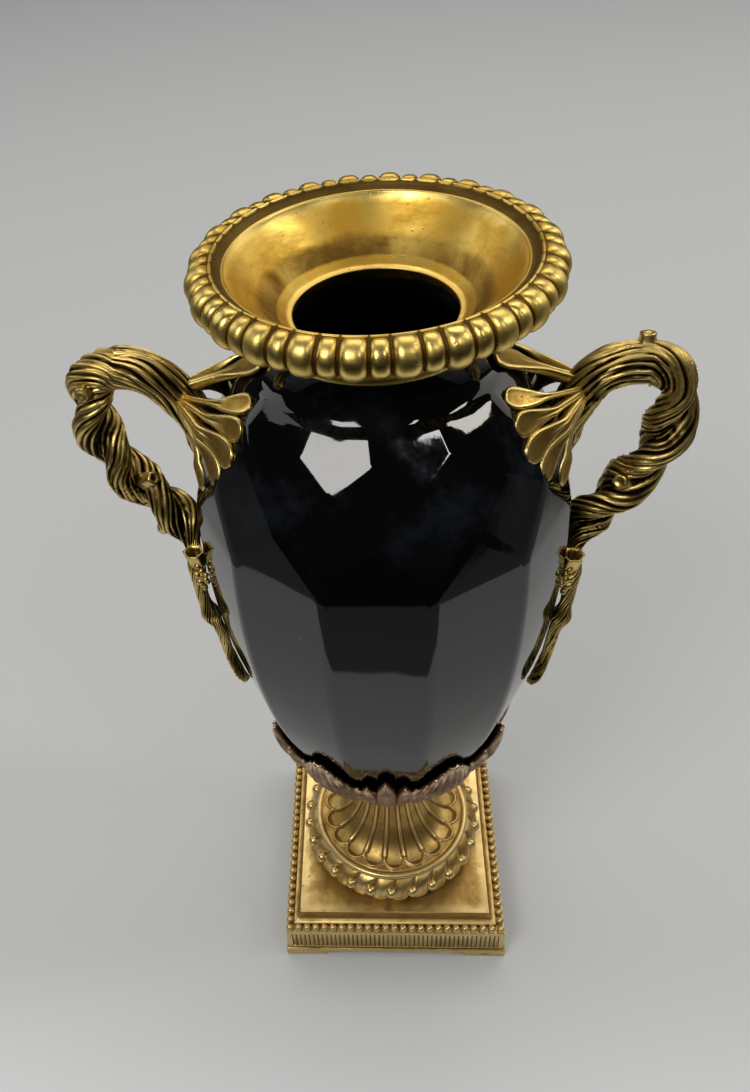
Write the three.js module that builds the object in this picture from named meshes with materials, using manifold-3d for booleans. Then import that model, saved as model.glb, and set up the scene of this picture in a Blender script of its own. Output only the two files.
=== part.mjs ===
// Faceted porcelain vase with gilt bronze mounts, standing on a square plinth. Millimetres, +Z up.
// The origin is on the ground under the middle of the plinth, and the front of the vase faces -Y.
import * as THREE from 'three';
import { mergeVertices } from 'three/addons/utils/BufferGeometryUtils.js';
import Module from 'manifold-3d';

const wasm = await Module();
wasm.setup();

// Fit and assembly
const gap = 0.3; // clearance between pieces that touch
const bodyTurn = -1.7; // degrees that the vase sits turned on its plinth

// Plinth
const plinthWidth = 150;
const plinthFootHeight = 4.2;
const plinthFootLength = 28;
const plinthBandHeight = 4.5; // plain band over the feet
const plinthBandProud = 1.3; // how far the band stands out from the fascia
const fasciaHeight = 23;
const fasciaBorder = 3.6; // plain border round the sunk fascia panel
const fasciaSink = 1.4;
const beadDiameter = 5.4;
const beadsPerSide = 24;
const cavettoHeight = 7;
const cavettoRun = 6.5;
const topFilletWidth = 1.6;
const topPanelSink = 0.6;

// Foot
const footHeight = 107.5;
const footTorusRadius = 49.5; // axis to the middle of the ring's section
const footTorusHeight = 25.5;
const footTorusBulge = 11;
const footLobes = 26;
const footLobeDepth = 1.6;
const footLobeSlant = 9; // degrees that a lobe turns from the bottom of the ring to its top
const footPearlDiameter = 4.6;
const footPearlTilt = 22; // degrees above the middle of the ring
const footRidgeRadius = 52;
const footRidgeHeight = 2;
const fluteCount = 18;
const fluteDepth = 1.8;
const fluteEndRadius = 45;
const flutePhase = 3.7; // degrees from the front to the middle of a flute
const waistRadius = 18.2;
const waistKnopRadius = 23;
const waistKnopHeight = 9;

// Calyx
const calyxFloor = 7.5;
const calyxWall = 2.2;
const calyxSlack = 0.7; // room between the leaves and the porcelain
const calyxRadius = 78; // the cup follows an ellipse with this half width
const calyxSemiAxis = 106; // and this half height
const calyxWidestRise = 98; // whose middle is this far above the underside of the cup
const calyxRib = 1.1;
const ribbedLeafHeight = 71.5; // leaves are measured from the underside of the cup
const palmetteHeight = 68.5;
const sideLeafHeight = 59;
const leafNotchHeight = 53;
const leafValleyHeight = 38;

// Porcelain body
const panelCount = 12;
const bodyWall = 5;
const bellyRadius = 93.2; // axis to a panel edge at the widest level
const bodyBaseRadius = 38.2; // axis to a panel edge at the underside
const widestHeight = 187; // above the underside of the body
const panelTopHeight = 222;
const facetRows = [
  { rise: 23.5, radius: 84.3 },
  { rise: 42, radius: 74.6 },
  { rise: 53.5, radius: 65.5 },
];
const neckFootRise = 60.5; // above the tops of the panels
const neckFootRadius = 57.2;
const neckHeight = 25;
const neckRadius = 45.3;
const neckBoreRadius = 39;

// Rim mount
const rimRingRadius = 69.7; // axis to the middle of the lobed ring's section
const rimRingRise = 22; // the middle of the lobed ring above the top of the neck
const rimRingSection = 7.2;
const rimLobeDepth = 1.9;
const rimLobePairs = 24;
const wideLobeShare = 0.575; // of the pitch of one wide and one narrow lobe
const rimLobePhase = 3.1; // degrees from the front to the middle of a narrow lobe
const rimRidgeRadius = 67;
const rimRidgeRise = 29.8;
const bowlEdgeRadius = 61.8;
const bowlEdgeRise = 26.2;
const mouthRadius = 36.9;
const mouthRise = 2.1;
const collarDepth = 4.5;
const collarWall = 2.8;
const sleeveDepth = 3;
const sleeveWall = 1.4;

// Handles
const trunkRadius = 7.4;
const stemRadius = 9.3;
const vineRadius = 9.7; // mean radius of the two twisted vines
const vineWaist = 2.4; // how much narrower the pair is across its two vines
const vineTurns = 1.5;
const barkRipple = 0.5;
const branchRadius = 5.6;
const branchTipRadius = 2.4;
const lobeWidth = 10.5;
const lobeThickness = 3;
const stubRadius = 3.4;
const cupRadius = 5.5;
const cupLength = 12;
const cupShare = 0.687; // of the handle's line, where the cup and its berries grow
const cupInward = 2; // from the line to the middle of the cup
const cupForward = 3.3;
const cupLift = 3.8;
const berryRadius = 3;
const berryCount = 3;
const sprayShare = 0.115; // of the handle's line, where the spray leaves the stem
const handleSteps = 27;
const handleSides = 8;

// Levels worked out from the sizes above
const plinthHeight = plinthFootHeight + plinthBandHeight + fasciaHeight + beadDiameter / 2 + cavettoHeight;
const footBase = plinthHeight + gap;
const calyxBase = footBase + footHeight + gap;
const bodyBase = calyxBase + calyxFloor + gap;
const panelTop = bodyBase + panelTopHeight;
const neckFoot = panelTop + neckFootRise;
const neckTop = neckFoot + neckHeight;
const bellySemiAxis = widestHeight / Math.sqrt(1 - (bodyBaseRadius / bellyRadius) ** 2); // of the panels' ellipse

const rad = THREE.MathUtils.degToRad;
const lerp = THREE.MathUtils.lerp;
const panelPitch = 360 / panelCount;

// Solids and meshes
function toSolid(positions, faces) {
  const mesh = new wasm.Mesh({
    numProp: 3,
    vertProperties: new Float32Array(positions.flat()),
    triVerts: new Uint32Array(faces.flat()),
  });
  return new wasm.Manifold(mesh);
}

function geometryToSolid(geometry) {
  geometry.deleteAttribute('normal');
  geometry.deleteAttribute('uv');
  const merged = mergeVertices(geometry, 1e-4);
  const mesh = new wasm.Mesh({
    numProp: 3,
    vertProperties: new Float32Array(merged.attributes.position.array),
    triVerts: new Uint32Array(merged.index.array),
  });
  return new wasm.Manifold(mesh);
}

function toMesh(name, solid, material) {
  const mesh = solid.getMesh();
  const geometry = new THREE.BufferGeometry();
  geometry.setAttribute('position', new THREE.Float32BufferAttribute(mesh.vertProperties, 3));
  geometry.setIndex(Array.from(mesh.triVerts));
  geometry.computeVertexNormals();
  const node = new THREE.Mesh(geometry, material);
  node.name = name;
  return node;
}

// A ring is { angles, points }, once round the axis with rising angles from 0 to 360 degrees.
function ring(directions, pointAt) {
  const corners = directions.map((angle, i) => {
    const { radius, z } = pointAt(angle, i);
    const point = [radius * Math.cos(rad(angle)), radius * Math.sin(rad(angle)), z];
    return { angle: ((angle % 360) + 360) % 360, point };
  });
  corners.sort((a, b) => a.angle - b.angle);
  return { angles: corners.map((corner) => corner.angle), points: corners.map((corner) => corner.point) };
}

function evenAngles(count, start = 0) {
  return Array.from({ length: count }, (_, i) => start + (i * 360) / count);
}

function roundRing(count, radius, z) {
  return ring(evenAngles(count), () => ({ radius, z }));
}

// Joins neighbouring rings with triangles. Ends are closed flat, or joined to each other in a loop.
function skin(rings, loop = false) {
  const positions = rings.flatMap((r) => r.points);
  const starts = [];
  let total = 0;
  for (const r of rings) {
    starts.push(total);
    total += r.points.length;
  }
  const faces = [];
  const join = (m, n) => {
    const a = rings[m].angles;
    const b = rings[n].angles;
    let i = 0;
    let j = 0;
    const middle = (list, k) => (list[k] + (k + 1 < list.length ? list[k + 1] : list[0] + 360)) / 2;
    while (i < a.length || j < b.length) {
      const useA = j >= b.length || (i < a.length && middle(a, i) <= middle(b, j));
      const ai = starts[m] + (i % a.length);
      const bj = starts[n] + (j % b.length);
      if (useA) {
        faces.push([ai, starts[m] + ((i + 1) % a.length), bj]);
        i += 1;
      } else {
        faces.push([ai, starts[n] + ((j + 1) % b.length), bj]);
        j += 1;
      }
    }
  };
  for (let k = 0; k + 1 < rings.length; k += 1) join(k, k + 1);
  const last = rings.length - 1;
  if (loop) {
    join(last, 0);
  } else {
    const close = (k, up) => {
      const count = rings[k].points.length;
      for (let i = 1; i + 1 < count; i += 1) {
        const face = [starts[k], starts[k] + i, starts[k] + i + 1];
        faces.push(up ? face : face.reverse());
      }
    };
    close(0, false);
    close(last, true);
  }
  return toSolid(positions, faces);
}

// A tube with a section that changes along a path. frameAt(t) gives its middle and its two section axes.
function sweep(steps, sides, frameAt, radiusAt) {
  const positions = [];
  const faces = [];
  for (let i = 0; i <= steps; i += 1) {
    const t = i / steps;
    const { middle, across, along } = frameAt(t);
    for (let k = 0; k < sides; k += 1) {
      const phi = (k * 360) / sides;
      const { u, v } = radiusAt(t, phi);
      const point = middle.clone().addScaledVector(across, u).addScaledVector(along, v);
      positions.push(point.toArray());
    }
  }
  for (let i = 0; i < steps; i += 1) {
    for (let k = 0; k < sides; k += 1) {
      const a = i * sides + k;
      const b = i * sides + ((k + 1) % sides);
      faces.push([a, b, b + sides], [a, b + sides, a + sides]);
    }
  }
  for (let k = 1; k + 1 < sides; k += 1) {
    faces.push([0, k + 1, k]);
    faces.push([steps * sides, steps * sides + k, steps * sides + k + 1]);
  }
  return toSolid(positions, faces);
}

// A bead with eight faces. Its corners stand a little proud so that it fills the outline of a round one.
function bead(diameter, x, y, z) {
  const geometry = new THREE.OctahedronGeometry((diameter / 2) * 1.1);
  geometry.translate(x, y, z);
  return geometryToSolid(geometry);
}

// A bead that stands on a level surface at z, as a square dome with its foot under the surface.
function domeBead(diameter, x, y, z) {
  const sink = 0.4;
  const corner = (diameter / 2 - 0.1) * Math.SQRT2;
  const profile = [[0, -sink], [corner, -sink], [corner * 0.5, diameter * 0.78], [0, diameter * 0.78]];
  const geometry = new THREE.LatheGeometry(profile.map(([r, h]) => new THREE.Vector2(r, h)), 4);
  geometry.rotateX(Math.PI / 2);
  geometry.rotateZ(Math.PI / 4);
  geometry.translate(x, y, z);
  return geometryToSolid(geometry);
}

function unite(solids) {
  return solids.reduce((whole, piece) => whole.add(piece));
}

// Porcelain body
function panelEdgeRadius(height) {
  const u = (height - widestHeight) / bellySemiAxis;
  return bellyRadius * Math.sqrt(1 - u * u);
}

const bodyOutline = [
  ...facetRows.map((row) => ({ z: panelTop + row.rise, radius: row.radius })),
  { z: neckFoot, radius: neckFootRadius },
];

// Distance from the axis to a panel edge, or to a corner of the facet net, at level z.
function edgeRadius(z) {
  if (z <= panelTop) return panelEdgeRadius(z - bodyBase);
  let below = { z: panelTop, radius: panelEdgeRadius(panelTopHeight) };
  for (const above of bodyOutline) {
    if (z <= above.z) return lerp(below.radius, above.radius, (z - below.z) / (above.z - below.z));
    below = above;
  }
  return neckRadiusAt(z);
}

// The neck is a concave quarter ellipse, from the foot of the neck to its top.
function neckRadiusAt(z) {
  const share = Math.min(1, (neckTop - z) / neckHeight);
  return neckRadius + (neckFootRadius - neckRadius) * (1 - Math.sqrt(1 - share ** 2.2));
}

function flatSideRadius(edge, angle) {
  const half = panelPitch / 2;
  const fromMiddle = ((((angle + half) % panelPitch) + panelPitch) % panelPitch) - half;
  return (edge * Math.cos(rad(half))) / Math.cos(rad(fromMiddle));
}

const panelStations = 9;
const neckStations = 4;
const neckSides = 24;

// The outside of the body, moved outwards by grow.
function bodyOutside(grow, fromBase = 0) {
  const half = panelPitch / 2;
  const corner = grow / Math.cos(rad(half));
  const rings = [];
  for (let i = 0; i <= panelStations; i += 1) {
    const height = panelTopHeight * (i / panelStations) ** 1.15;
    const z = bodyBase + height - (i === 0 ? fromBase : 0);
    const radius = panelEdgeRadius(height) + corner;
    rings.push(ring(evenAngles(panelCount, half), () => ({ radius, z })));
  }
  facetRows.forEach((row, i) => {
    const start = i % 2 === 0 ? 0 : half;
    const point = { radius: row.radius + corner, z: panelTop + row.rise + grow * 0.7 };
    rings.push(ring(evenAngles(panelCount, start), () => point));
  });
  for (let i = 0; i <= neckStations; i += 1) {
    const z = neckFoot + neckHeight * (i / neckStations) ** 1.5;
    rings.push(roundRing(neckSides, neckRadiusAt(z) + grow, z + (i === 0 ? grow * 0.7 : 0)));
  }
  return rings;
}

function vaseBody() {
  const rings = bodyOutside(0);
  const insideSides = panelCount;
  const inside = (z) => {
    const step = 1;
    const slope = (edgeRadius(z + step) - edgeRadius(z - step)) / (2 * step);
    const flat = z < neckFoot ? Math.cos(rad(panelPitch / 2)) : 1;
    return Math.max(neckBoreRadius, edgeRadius(z) * flat - bodyWall * Math.hypot(1, slope));
  };
  rings.push(roundRing(neckSides, neckBoreRadius, neckTop));
  rings.push(roundRing(neckSides, neckBoreRadius, neckFoot + neckHeight * 0.5));
  const levels = [neckFootRise, ...facetRows.map((row) => row.rise).reverse(), 0];
  for (const rise of levels) {
    const z = panelTop + rise;
    rings.push(roundRing(insideSides, inside(z), z));
  }
  const floor = bodyBase + bodyWall * 1.6;
  const insideStations = 6;
  for (let i = 1; i <= insideStations; i += 1) {
    const z = lerp(panelTop, floor, (i / insideStations) ** 0.9);
    rings.push(roundRing(insideSides, inside(z), z));
  }
  return skin(rings);
}

// Calyx: a cup of twelve leaves round the foot of the body, ribbed leaves between palmettes.
const calyxStep = 5; // degrees between the corners of the leaves' outline

function calyxEdgeHeight(angle) {
  const leaf = Math.round(angle / panelPitch);
  const from = Math.abs(angle - leaf * panelPitch);
  const ribbed = leaf % 2 === 0;
  if (ribbed) return lerp(ribbedLeafHeight, leafValleyHeight, (from / (panelPitch / 2)) ** 2.4);
  if (from < calyxStep / 2) return palmetteHeight;
  if (from < calyxStep * 1.5) return leafNotchHeight;
  if (from < calyxStep * 2.5) return sideLeafHeight;
  return leafValleyHeight;
}

function calyx() {
  const angles = evenAngles(360 / calyxStep);
  const porcelain = (z, angle) => flatSideRadius(edgeRadius(Math.max(z, bodyBase)), angle) + calyxSlack;
  const cup = (rise) => calyxRadius * Math.sqrt(1 - ((calyxWidestRise - rise) / calyxSemiAxis) ** 2);
  const outer = (rise, angle) => Math.max(cup(rise), porcelain(calyxBase + rise, angle) + calyxWall);
  const rib = (angle, t) => {
    const onRib = Math.abs(angle - Math.round(angle / (calyxStep * 2)) * calyxStep * 2) < 1;
    return onRib ? calyxRib * Math.sin(Math.PI * Math.min(1, t * 1.2)) : 0;
  };
  const rings = [];
  rings.push(roundRing(24, waistKnopRadius - 3, calyxBase));
  rings.push(roundRing(36, cup(2), calyxBase + 2));
  const outerRows = 3;
  const firstRise = calyxFloor + 4;
  for (let i = 0; i <= outerRows; i += 1) {
    const t = i / outerRows;
    rings.push(ring(angles, (angle) => {
      const rise = lerp(firstRise, calyxEdgeHeight(angle), t);
      return { radius: outer(rise, angle) + rib(angle, t), z: calyxBase + rise };
    }));
  }
  const innerRows = 3;
  for (let i = innerRows; i >= 0; i -= 1) {
    const t = i / innerRows;
    rings.push(ring(angles, (angle) => {
      const rise = lerp(firstRise, calyxEdgeHeight(angle), t) + (i === innerRows ? 0.3 : 0);
      return { radius: outer(rise, angle) - calyxWall, z: calyxBase + rise };
    }));
  }
  rings.push(ring(evenAngles(panelCount, panelPitch / 2), () => ({
    radius: edgeRadius(bodyBase) + calyxSlack,
    z: calyxBase + calyxFloor,
  })));
  return skin(rings);
}

// Foot: a ring of slanted lobes with pearls, a thin ridge, and a fluted waist.
function foot() {
  const torusMiddle = footBase + footTorusHeight / 2;
  const spread = (count, offsets, start) => {
    const pitch = 360 / count;
    return Array.from({ length: count }, (_, i) => offsets.map((o) => (i + o) * pitch + start)).flat();
  };
  const rings = [roundRing(footLobes, footTorusRadius - 4, footBase)];
  const torusRows = [-66, -18, 28, 76];
  torusRows.forEach((tilt, row) => {
    const turn = footLobeSlant * (row / (torusRows.length - 1) - 0.5);
    const angles = spread(footLobes, [0, 0.5], turn - 90);
    const crown = Math.sqrt(Math.cos(rad(tilt)));
    rings.push(ring(angles, (angle, i) => {
      const bulge = footTorusBulge - (i % 2 === 0 ? footLobeDepth * crown : 0);
      const z = torusMiddle + (footTorusHeight / 2) * Math.sin(rad(tilt));
      return { radius: footTorusRadius + bulge * Math.cos(rad(tilt)), z };
    }));
  });
  const shelf = footBase + footTorusHeight + 0.5;
  const ridgeSides = 36;
  rings.push(roundRing(ridgeSides, footRidgeRadius, shelf + footRidgeHeight * 0.6));
  rings.push(roundRing(ridgeSides, footRidgeRadius - 1.4, shelf + footRidgeHeight));
  rings.push(roundRing(ridgeSides, footRidgeRadius - 2.8, shelf + 0.5));
  // The waist is a scotia: a quarter ellipse from the shelf up to the narrow part of the foot.
  const knopBase = footBase + footHeight - waistKnopHeight - 3;
  const waistRows = 4;
  for (let i = 0; i <= waistRows; i += 1) {
    const t = i / waistRows;
    const sweepAngle = rad(90 * t ** 0.85);
    const crest = fluteEndRadius - (fluteEndRadius - waistRadius) * Math.sin(sweepAngle) ** 0.9;
    const z = lerp(shelf + 1, knopBase, 1 - Math.cos(sweepAngle) ** 0.75);
    const depth = i === 0 ? 0 : fluteDepth * (1 - 0.6 * t);
    const angles = spread(fluteCount, [0.5, 0.72, 1.28], -90 + flutePhase);
    const level = Math.cos(sweepAngle);
    rings.push(ring(angles, (angle, k) => {
      const sink = k % 3 === 0 ? 0 : depth;
      return { radius: crest - sink * (1 - level), z: z - sink * level };
    }));
  }
  const knopSides = 18;
  rings.push(roundRing(knopSides, waistKnopRadius, knopBase + 1 + waistKnopHeight * 0.35));
  rings.push(roundRing(knopSides, waistKnopRadius, knopBase + 1 + waistKnopHeight * 0.65));
  rings.push(roundRing(knopSides, waistRadius + 0.8, footBase + footHeight - 1));
  rings.push(roundRing(knopSides, waistRadius + 1.5, footBase + footHeight));
  const tilt = rad(footPearlTilt);
  const pearlRadius = footTorusRadius + footTorusBulge * Math.cos(tilt) - footLobeDepth / 2;
  const pearlZ = torusMiddle + (footTorusHeight / 2) * Math.sin(tilt);
  const pearls = evenAngles(footLobes, -90).map((angle) => bead(
    footPearlDiameter,
    pearlRadius * Math.cos(rad(angle)),
    pearlRadius * Math.sin(rad(angle)),
    pearlZ,
  ));
  return unite([skin(rings), ...pearls]);
}

// Rim mount: a lobed ring round a shallow bowl, with a collar outside the neck and a sleeve inside it.
function rimMount() {
  const ringZ = neckTop + rimRingRise;
  const pitch = 360 / rimLobePairs;
  const wide = pitch * wideLobeShare;
  const narrow = pitch - wide;
  const offsets = [0, narrow / 2, narrow, narrow + wide * 0.28, narrow + wide * 0.72];
  const first = -90 + rimLobePhase - narrow / 2;
  const angles = Array.from({ length: rimLobePairs }, (_, i) => offsets.map((o) => first + i * pitch + o)).flat();
  const crowns = [0, 0.75, 0, 1, 1];
  const sides = 24;
  const rings = [];
  rings.push(roundRing(sides, neckRadius + gap + collarWall, neckTop - collarDepth));
  rings.push(roundRing(sides, neckRadius + gap + collarWall, neckTop + 0.8));
  rings.push(roundRing(sides, lerp(neckRadius, rimRingRadius, 0.5), ringZ - rimRingSection - 5));
  for (const tilt of [-60, -5, 55]) {
    rings.push(ring(angles, (angle, i) => {
      const reach = rimRingSection + rimLobeDepth * crowns[i % crowns.length] * Math.cos(rad(tilt * 0.9));
      return { radius: rimRingRadius + reach * Math.cos(rad(tilt)), z: ringZ + reach * Math.sin(rad(tilt)) };
    }));
  }
  rings.push(roundRing(sides, rimRidgeRadius, neckTop + rimRidgeRise));
  rings.push(roundRing(sides, bowlEdgeRadius + 2, neckTop + bowlEdgeRise - 0.8));
  rings.push(roundRing(sides, bowlEdgeRadius, neckTop + bowlEdgeRise));
  const bowlRows = 3;
  for (let i = 1; i <= bowlRows; i += 1) {
    const t = i / bowlRows;
    const radius = lerp(bowlEdgeRadius, mouthRadius, t);
    rings.push(roundRing(sides, radius, neckTop + lerp(bowlEdgeRise - 1.5, mouthRise, 1 - (1 - t) ** 1.45)));
  }
  const sleeveOuter = neckBoreRadius - gap;
  rings.push(roundRing(sides, sleeveOuter - sleeveWall, neckTop - sleeveDepth));
  rings.push(roundRing(sides, sleeveOuter, neckTop - sleeveDepth));
  rings.push(roundRing(sides, sleeveOuter, neckTop + gap));
  rings.push(roundRing(sides, neckRadius + gap, neckTop + gap));
  rings.push(roundRing(sides, neckRadiusAt(neckTop - collarDepth) + gap * 2, neckTop - collarDepth));
  return skin(rings, true);
}

// Plinth: a square block with a beaded edge.
function squareRing(half, z) {
  const reach = half * Math.SQRT2;
  return ring(evenAngles(4, 45), () => ({ radius: reach, z }));
}

function box(x0, x1, y0, y1, z0, z1) {
  const geometry = new THREE.BoxGeometry(x1 - x0, y1 - y0, z1 - z0);
  geometry.translate((x0 + x1) / 2, (y0 + y1) / 2, (z0 + z1) / 2);
  return geometryToSolid(geometry);
}

function plinth() {
  const half = plinthWidth / 2;
  const fasciaFoot = plinthFootHeight + plinthBandHeight;
  const ledge = fasciaFoot + fasciaHeight;
  const cavettoFoot = ledge + beadDiameter / 2;
  const topHalf = half - beadDiameter - cavettoRun * 0.75;
  const rings = [
    squareRing(half + plinthBandProud, 0),
    squareRing(half + plinthBandProud, fasciaFoot - 0.8),
    squareRing(half, fasciaFoot),
    squareRing(half, ledge),
    squareRing(half - beadDiameter, ledge),
    squareRing(half - beadDiameter, cavettoFoot - 0.6),
  ];
  const cavettoRows = 3;
  for (let i = 1; i <= cavettoRows; i += 1) {
    const turn = rad((90 * i) / cavettoRows);
    const run = (half - beadDiameter - topHalf) * Math.sin(turn);
    rings.push(squareRing(half - beadDiameter - run, cavettoFoot + (cavettoHeight - 1.8) * (1 - Math.cos(turn))));
  }
  rings.push(squareRing(topHalf, plinthHeight));
  let solid = skin(rings);
  const inner = topHalf - topFilletWidth;
  solid = solid.subtract(box(-inner, inner, -inner, inner, plinthHeight - topPanelSink, plinthHeight + 1));
  const reach = half + plinthBandProud + 1;
  const opening = half + plinthBandProud - plinthFootLength;
  solid = solid.subtract(box(-opening, opening, -reach, reach, -1, plinthFootHeight));
  solid = solid.subtract(box(-reach, reach, -opening, opening, -1, plinthFootHeight));
  const panel = half - fasciaBorder;
  const panelLow = fasciaFoot + fasciaBorder * 0.4;
  const panelHigh = ledge - fasciaBorder;
  for (const side of [-1, 1]) {
    const near = side * (half - fasciaSink);
    const far = side * (half + 1);
    const low = Math.min(near, far);
    const high = Math.max(near, far);
    solid = solid.subtract(box(-panel, panel, low, high, panelLow, panelHigh));
    solid = solid.subtract(box(low, high, -panel, panel, panelLow, panelHigh));
  }
  const beads = [];
  const beadLine = half - beadDiameter / 2;
  for (let i = 0; i < beadsPerSide; i += 1) {
    const along = lerp(-beadLine, beadLine, i / beadsPerSide);
    beads.push(domeBead(beadDiameter, along, -beadLine, ledge));
    beads.push(domeBead(beadDiameter, beadLine, along, ledge));
    beads.push(domeBead(beadDiameter, -along, beadLine, ledge));
    beads.push(domeBead(beadDiameter, -beadLine, -along, ledge));
  }
  return unite([solid, ...beads]);
}

// Handle at +X: a spray of lobes on the shoulder, a bark covered stem that rises from it and arches over,
// two twisted vines down to the widest level, and a thin branch down the side with a cup and berries.
// The points are heights above the underside of the body.
const handleLine = [
  [87, 0, 229],
  [85, 0, 246],
  [88.5, 0, 260],
  [97, 0, 274],
  [105, 0, 279.5],
  [113.5, 0, 281.5],
  [124, 0, 280.5],
  [131.8, 0, 272.5],
  [134.5, 0, 258],
  [133.5, 0, 245],
  [130, 0, 234.5],
  [126, 0, 223.5],
  [119.5, 0, 213.5],
  [112, 0, 203],
  [103.5, 1, 191.5],
  [98.6, 7, 182],
  [96.4, 15.5, 174],
  [96.2, 17.5, 163],
  [95.6, 19, 151],
  [93.3, 20, 139],
  [90, 21, 127],
  [88, 21, 109],
  [84.6, 21, 93],
  [81.4, 21, 84],
];

// The two castings were bent by hand: reach and lift move the arch of one, phase turns its vines.
// Stubs are cut twigs, placed by their share of the line and their angle round it.
const handles = [
  {
    name: 'handle_right',
    side: 1,
    reach: -2.2,
    lift: -2.2,
    phase: -26,
    stubs: [
      { at: 0.235, angle: 165, length: 3.5 },
      { at: 0.5, angle: 315, length: 1.5 },
    ],
  },
  {
    name: 'handle_left',
    side: -1,
    reach: 2.2,
    lift: 2,
    phase: -89,
    stubs: [
      { at: 0.3, angle: 100, length: 1.5 },
      { at: 0.51, angle: 25, length: 4 },
      { at: 0.61, angle: 190, length: 6 },
    ],
  },
];

function handle({ side, reach, lift, phase, stubs }) {
  const points = handleLine.map(([x, y, height]) => {
    const share = THREE.MathUtils.smoothstep(x, 88, 106);
    return new THREE.Vector3(x + reach * share, -y * side, bodyBase + height + lift * share);
  });
  const curve = new THREE.CatmullRomCurve3(points, false, 'centripetal');
  const sideways = new THREE.Vector3(0, 1, 0);
  const frameAt = (t) => {
    const tangent = curve.getTangentAt(t);
    const across = new THREE.Vector3().crossVectors(sideways, tangent).normalize();
    const along = new THREE.Vector3().crossVectors(tangent, across);
    return { middle: curve.getPointAt(t), across, along };
  };
  const { smoothstep } = THREE.MathUtils;
  const vinesStart = 0.24;
  const vinesEnd = 0.58;
  const sectionAt = (t, phi) => {
    const stem = smoothstep(t, 0.02, 0.16);
    const vines = smoothstep(t, vinesStart, vinesStart + 0.1);
    const branch = smoothstep(t, vinesEnd, vinesEnd + 0.09);
    const rooted = smoothstep(t, 0, 0.05);
    const wood = lerp(lerp(trunkRadius * (0.4 + 0.6 * rooted), stemRadius, stem), vineRadius, vines);
    const radius = lerp(wood, lerp(branchRadius, branchTipRadius, t), branch);
    const waist = vineWaist * vines * (1 - branch);
    const turn = phase + (360 * vineTurns * (t - vinesStart)) / (vinesEnd - vinesStart);
    const reachOut = radius + waist * Math.cos(rad(2 * (phi - turn))) + barkRipple * Math.cos(rad(4 * phi));
    return { u: reachOut * Math.cos(rad(phi)), v: reachOut * Math.sin(rad(phi)) };
  };
  const pieces = [sweep(handleSteps, handleSides, frameAt, sectionAt), ...spray(curve.getPointAt(sprayShare))];
  for (const { at, angle, length } of stubs) {
    const { middle, across, along } = frameAt(at);
    const out = across.multiplyScalar(Math.cos(rad(angle))).addScaledVector(along, Math.sin(rad(angle)));
    const whole = vineRadius + length;
    const geometry = new THREE.CylinderGeometry(stubRadius * 0.85, stubRadius, whole, 7);
    geometry.rotateX(Math.PI / 2);
    geometry.lookAt(out);
    const spot = middle.addScaledVector(out, whole / 2);
    geometry.translate(spot.x, spot.y, spot.z);
    pieces.push(geometryToSolid(geometry));
  }
  const front = -side;
  const cup = new THREE.IcosahedronGeometry(1, 0);
  cup.scale(cupRadius, cupRadius, cupLength / 2);
  const knot = curve.getPointAt(cupShare);
  const [x, y, z] = [knot.x - cupInward, knot.y + cupForward * front, knot.z + cupLift];
  cup.translate(x, y, z);
  pieces.push(geometryToSolid(cup));
  for (let i = 0; i < berryCount; i += 1) {
    const down = berryRadius * (0.4 + 1.27 * i);
    pieces.push(bead(berryRadius * 2, x - berryRadius * 0.9, y + berryRadius * 1.6 * front, z - down));
  }
  return unite(pieces).subtract(skin(bodyOutside(gap, 20)));
}

// The spray: lobes that fan from the foot of the stem and lie on the shoulder.
// Each has its tip's angle from the handle's plane in degrees, and its tip's height above the panels' tops.
const sprayLobes = [
  { turn: 0, rise: 68, width: 1.7, raise: 2.2 },
  { turn: 24, rise: 57, width: 0.95 },
  { turn: 30, rise: 49, width: 1.1 },
  { turn: 31.5, rise: 37.5, width: 1.1 },
  { turn: 29.5, rise: 25, width: 1 },
  { turn: 24, rise: 14, width: 0.8 },
];

function spray(root) {
  const stations = [0, 0.5, 0.86, 1];
  const breadth = [0.5, 0.75, 1, 0.4];
  const height = [1.6, 1.1, 1, 0.6];
  const sides = 5;
  const onShoulder = (angle, z) => flatSideRadius(edgeRadius(z), angle);
  const standoff = root.x - onShoulder(0, root.z);
  return sprayLobes.flatMap(({ turn, rise, width, raise = 0 }) => (turn === 0 ? [1] : [-1, 1]).map((side) => {
    const pointAt = (t) => {
      const angle = side * turn * t ** 0.85;
      const z = lerp(root.z, panelTop + rise, t);
      const radius = onShoulder(angle, z) + gap + raise + standoff * (1 - t) ** 2.2;
      return new THREE.Vector3(radius * Math.cos(rad(angle)), radius * Math.sin(rad(angle)), z);
    };
    const frameAt = (share) => {
      const t = stations[Math.round(share * (stations.length - 1))];
      const middle = pointAt(t);
      const tangent = pointAt(Math.min(1, t + 0.02)).sub(pointAt(Math.max(0, t - 0.02))).normalize();
      const outward = new THREE.Vector3(middle.x, middle.y, 40).normalize();
      const across = new THREE.Vector3().crossVectors(outward, tangent).normalize();
      const along = new THREE.Vector3().crossVectors(tangent, across);
      return { middle, across, along };
    };
    // The section is a low arch, so that the flat underside of the lobe rests on the shoulder.
    const sectionAt = (share, phi) => {
      const k = Math.round(share * (stations.length - 1));
      const arch = rad((phi * sides) / (2 * (sides - 1)));
      const halfWidth = (lobeWidth / 2) * width * breadth[k];
      return { u: halfWidth * Math.cos(arch), v: lobeThickness * height[k] * Math.sin(arch) };
    };
    return sweep(stations.length - 1, sides, frameAt, sectionAt);
  }));
}

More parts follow.
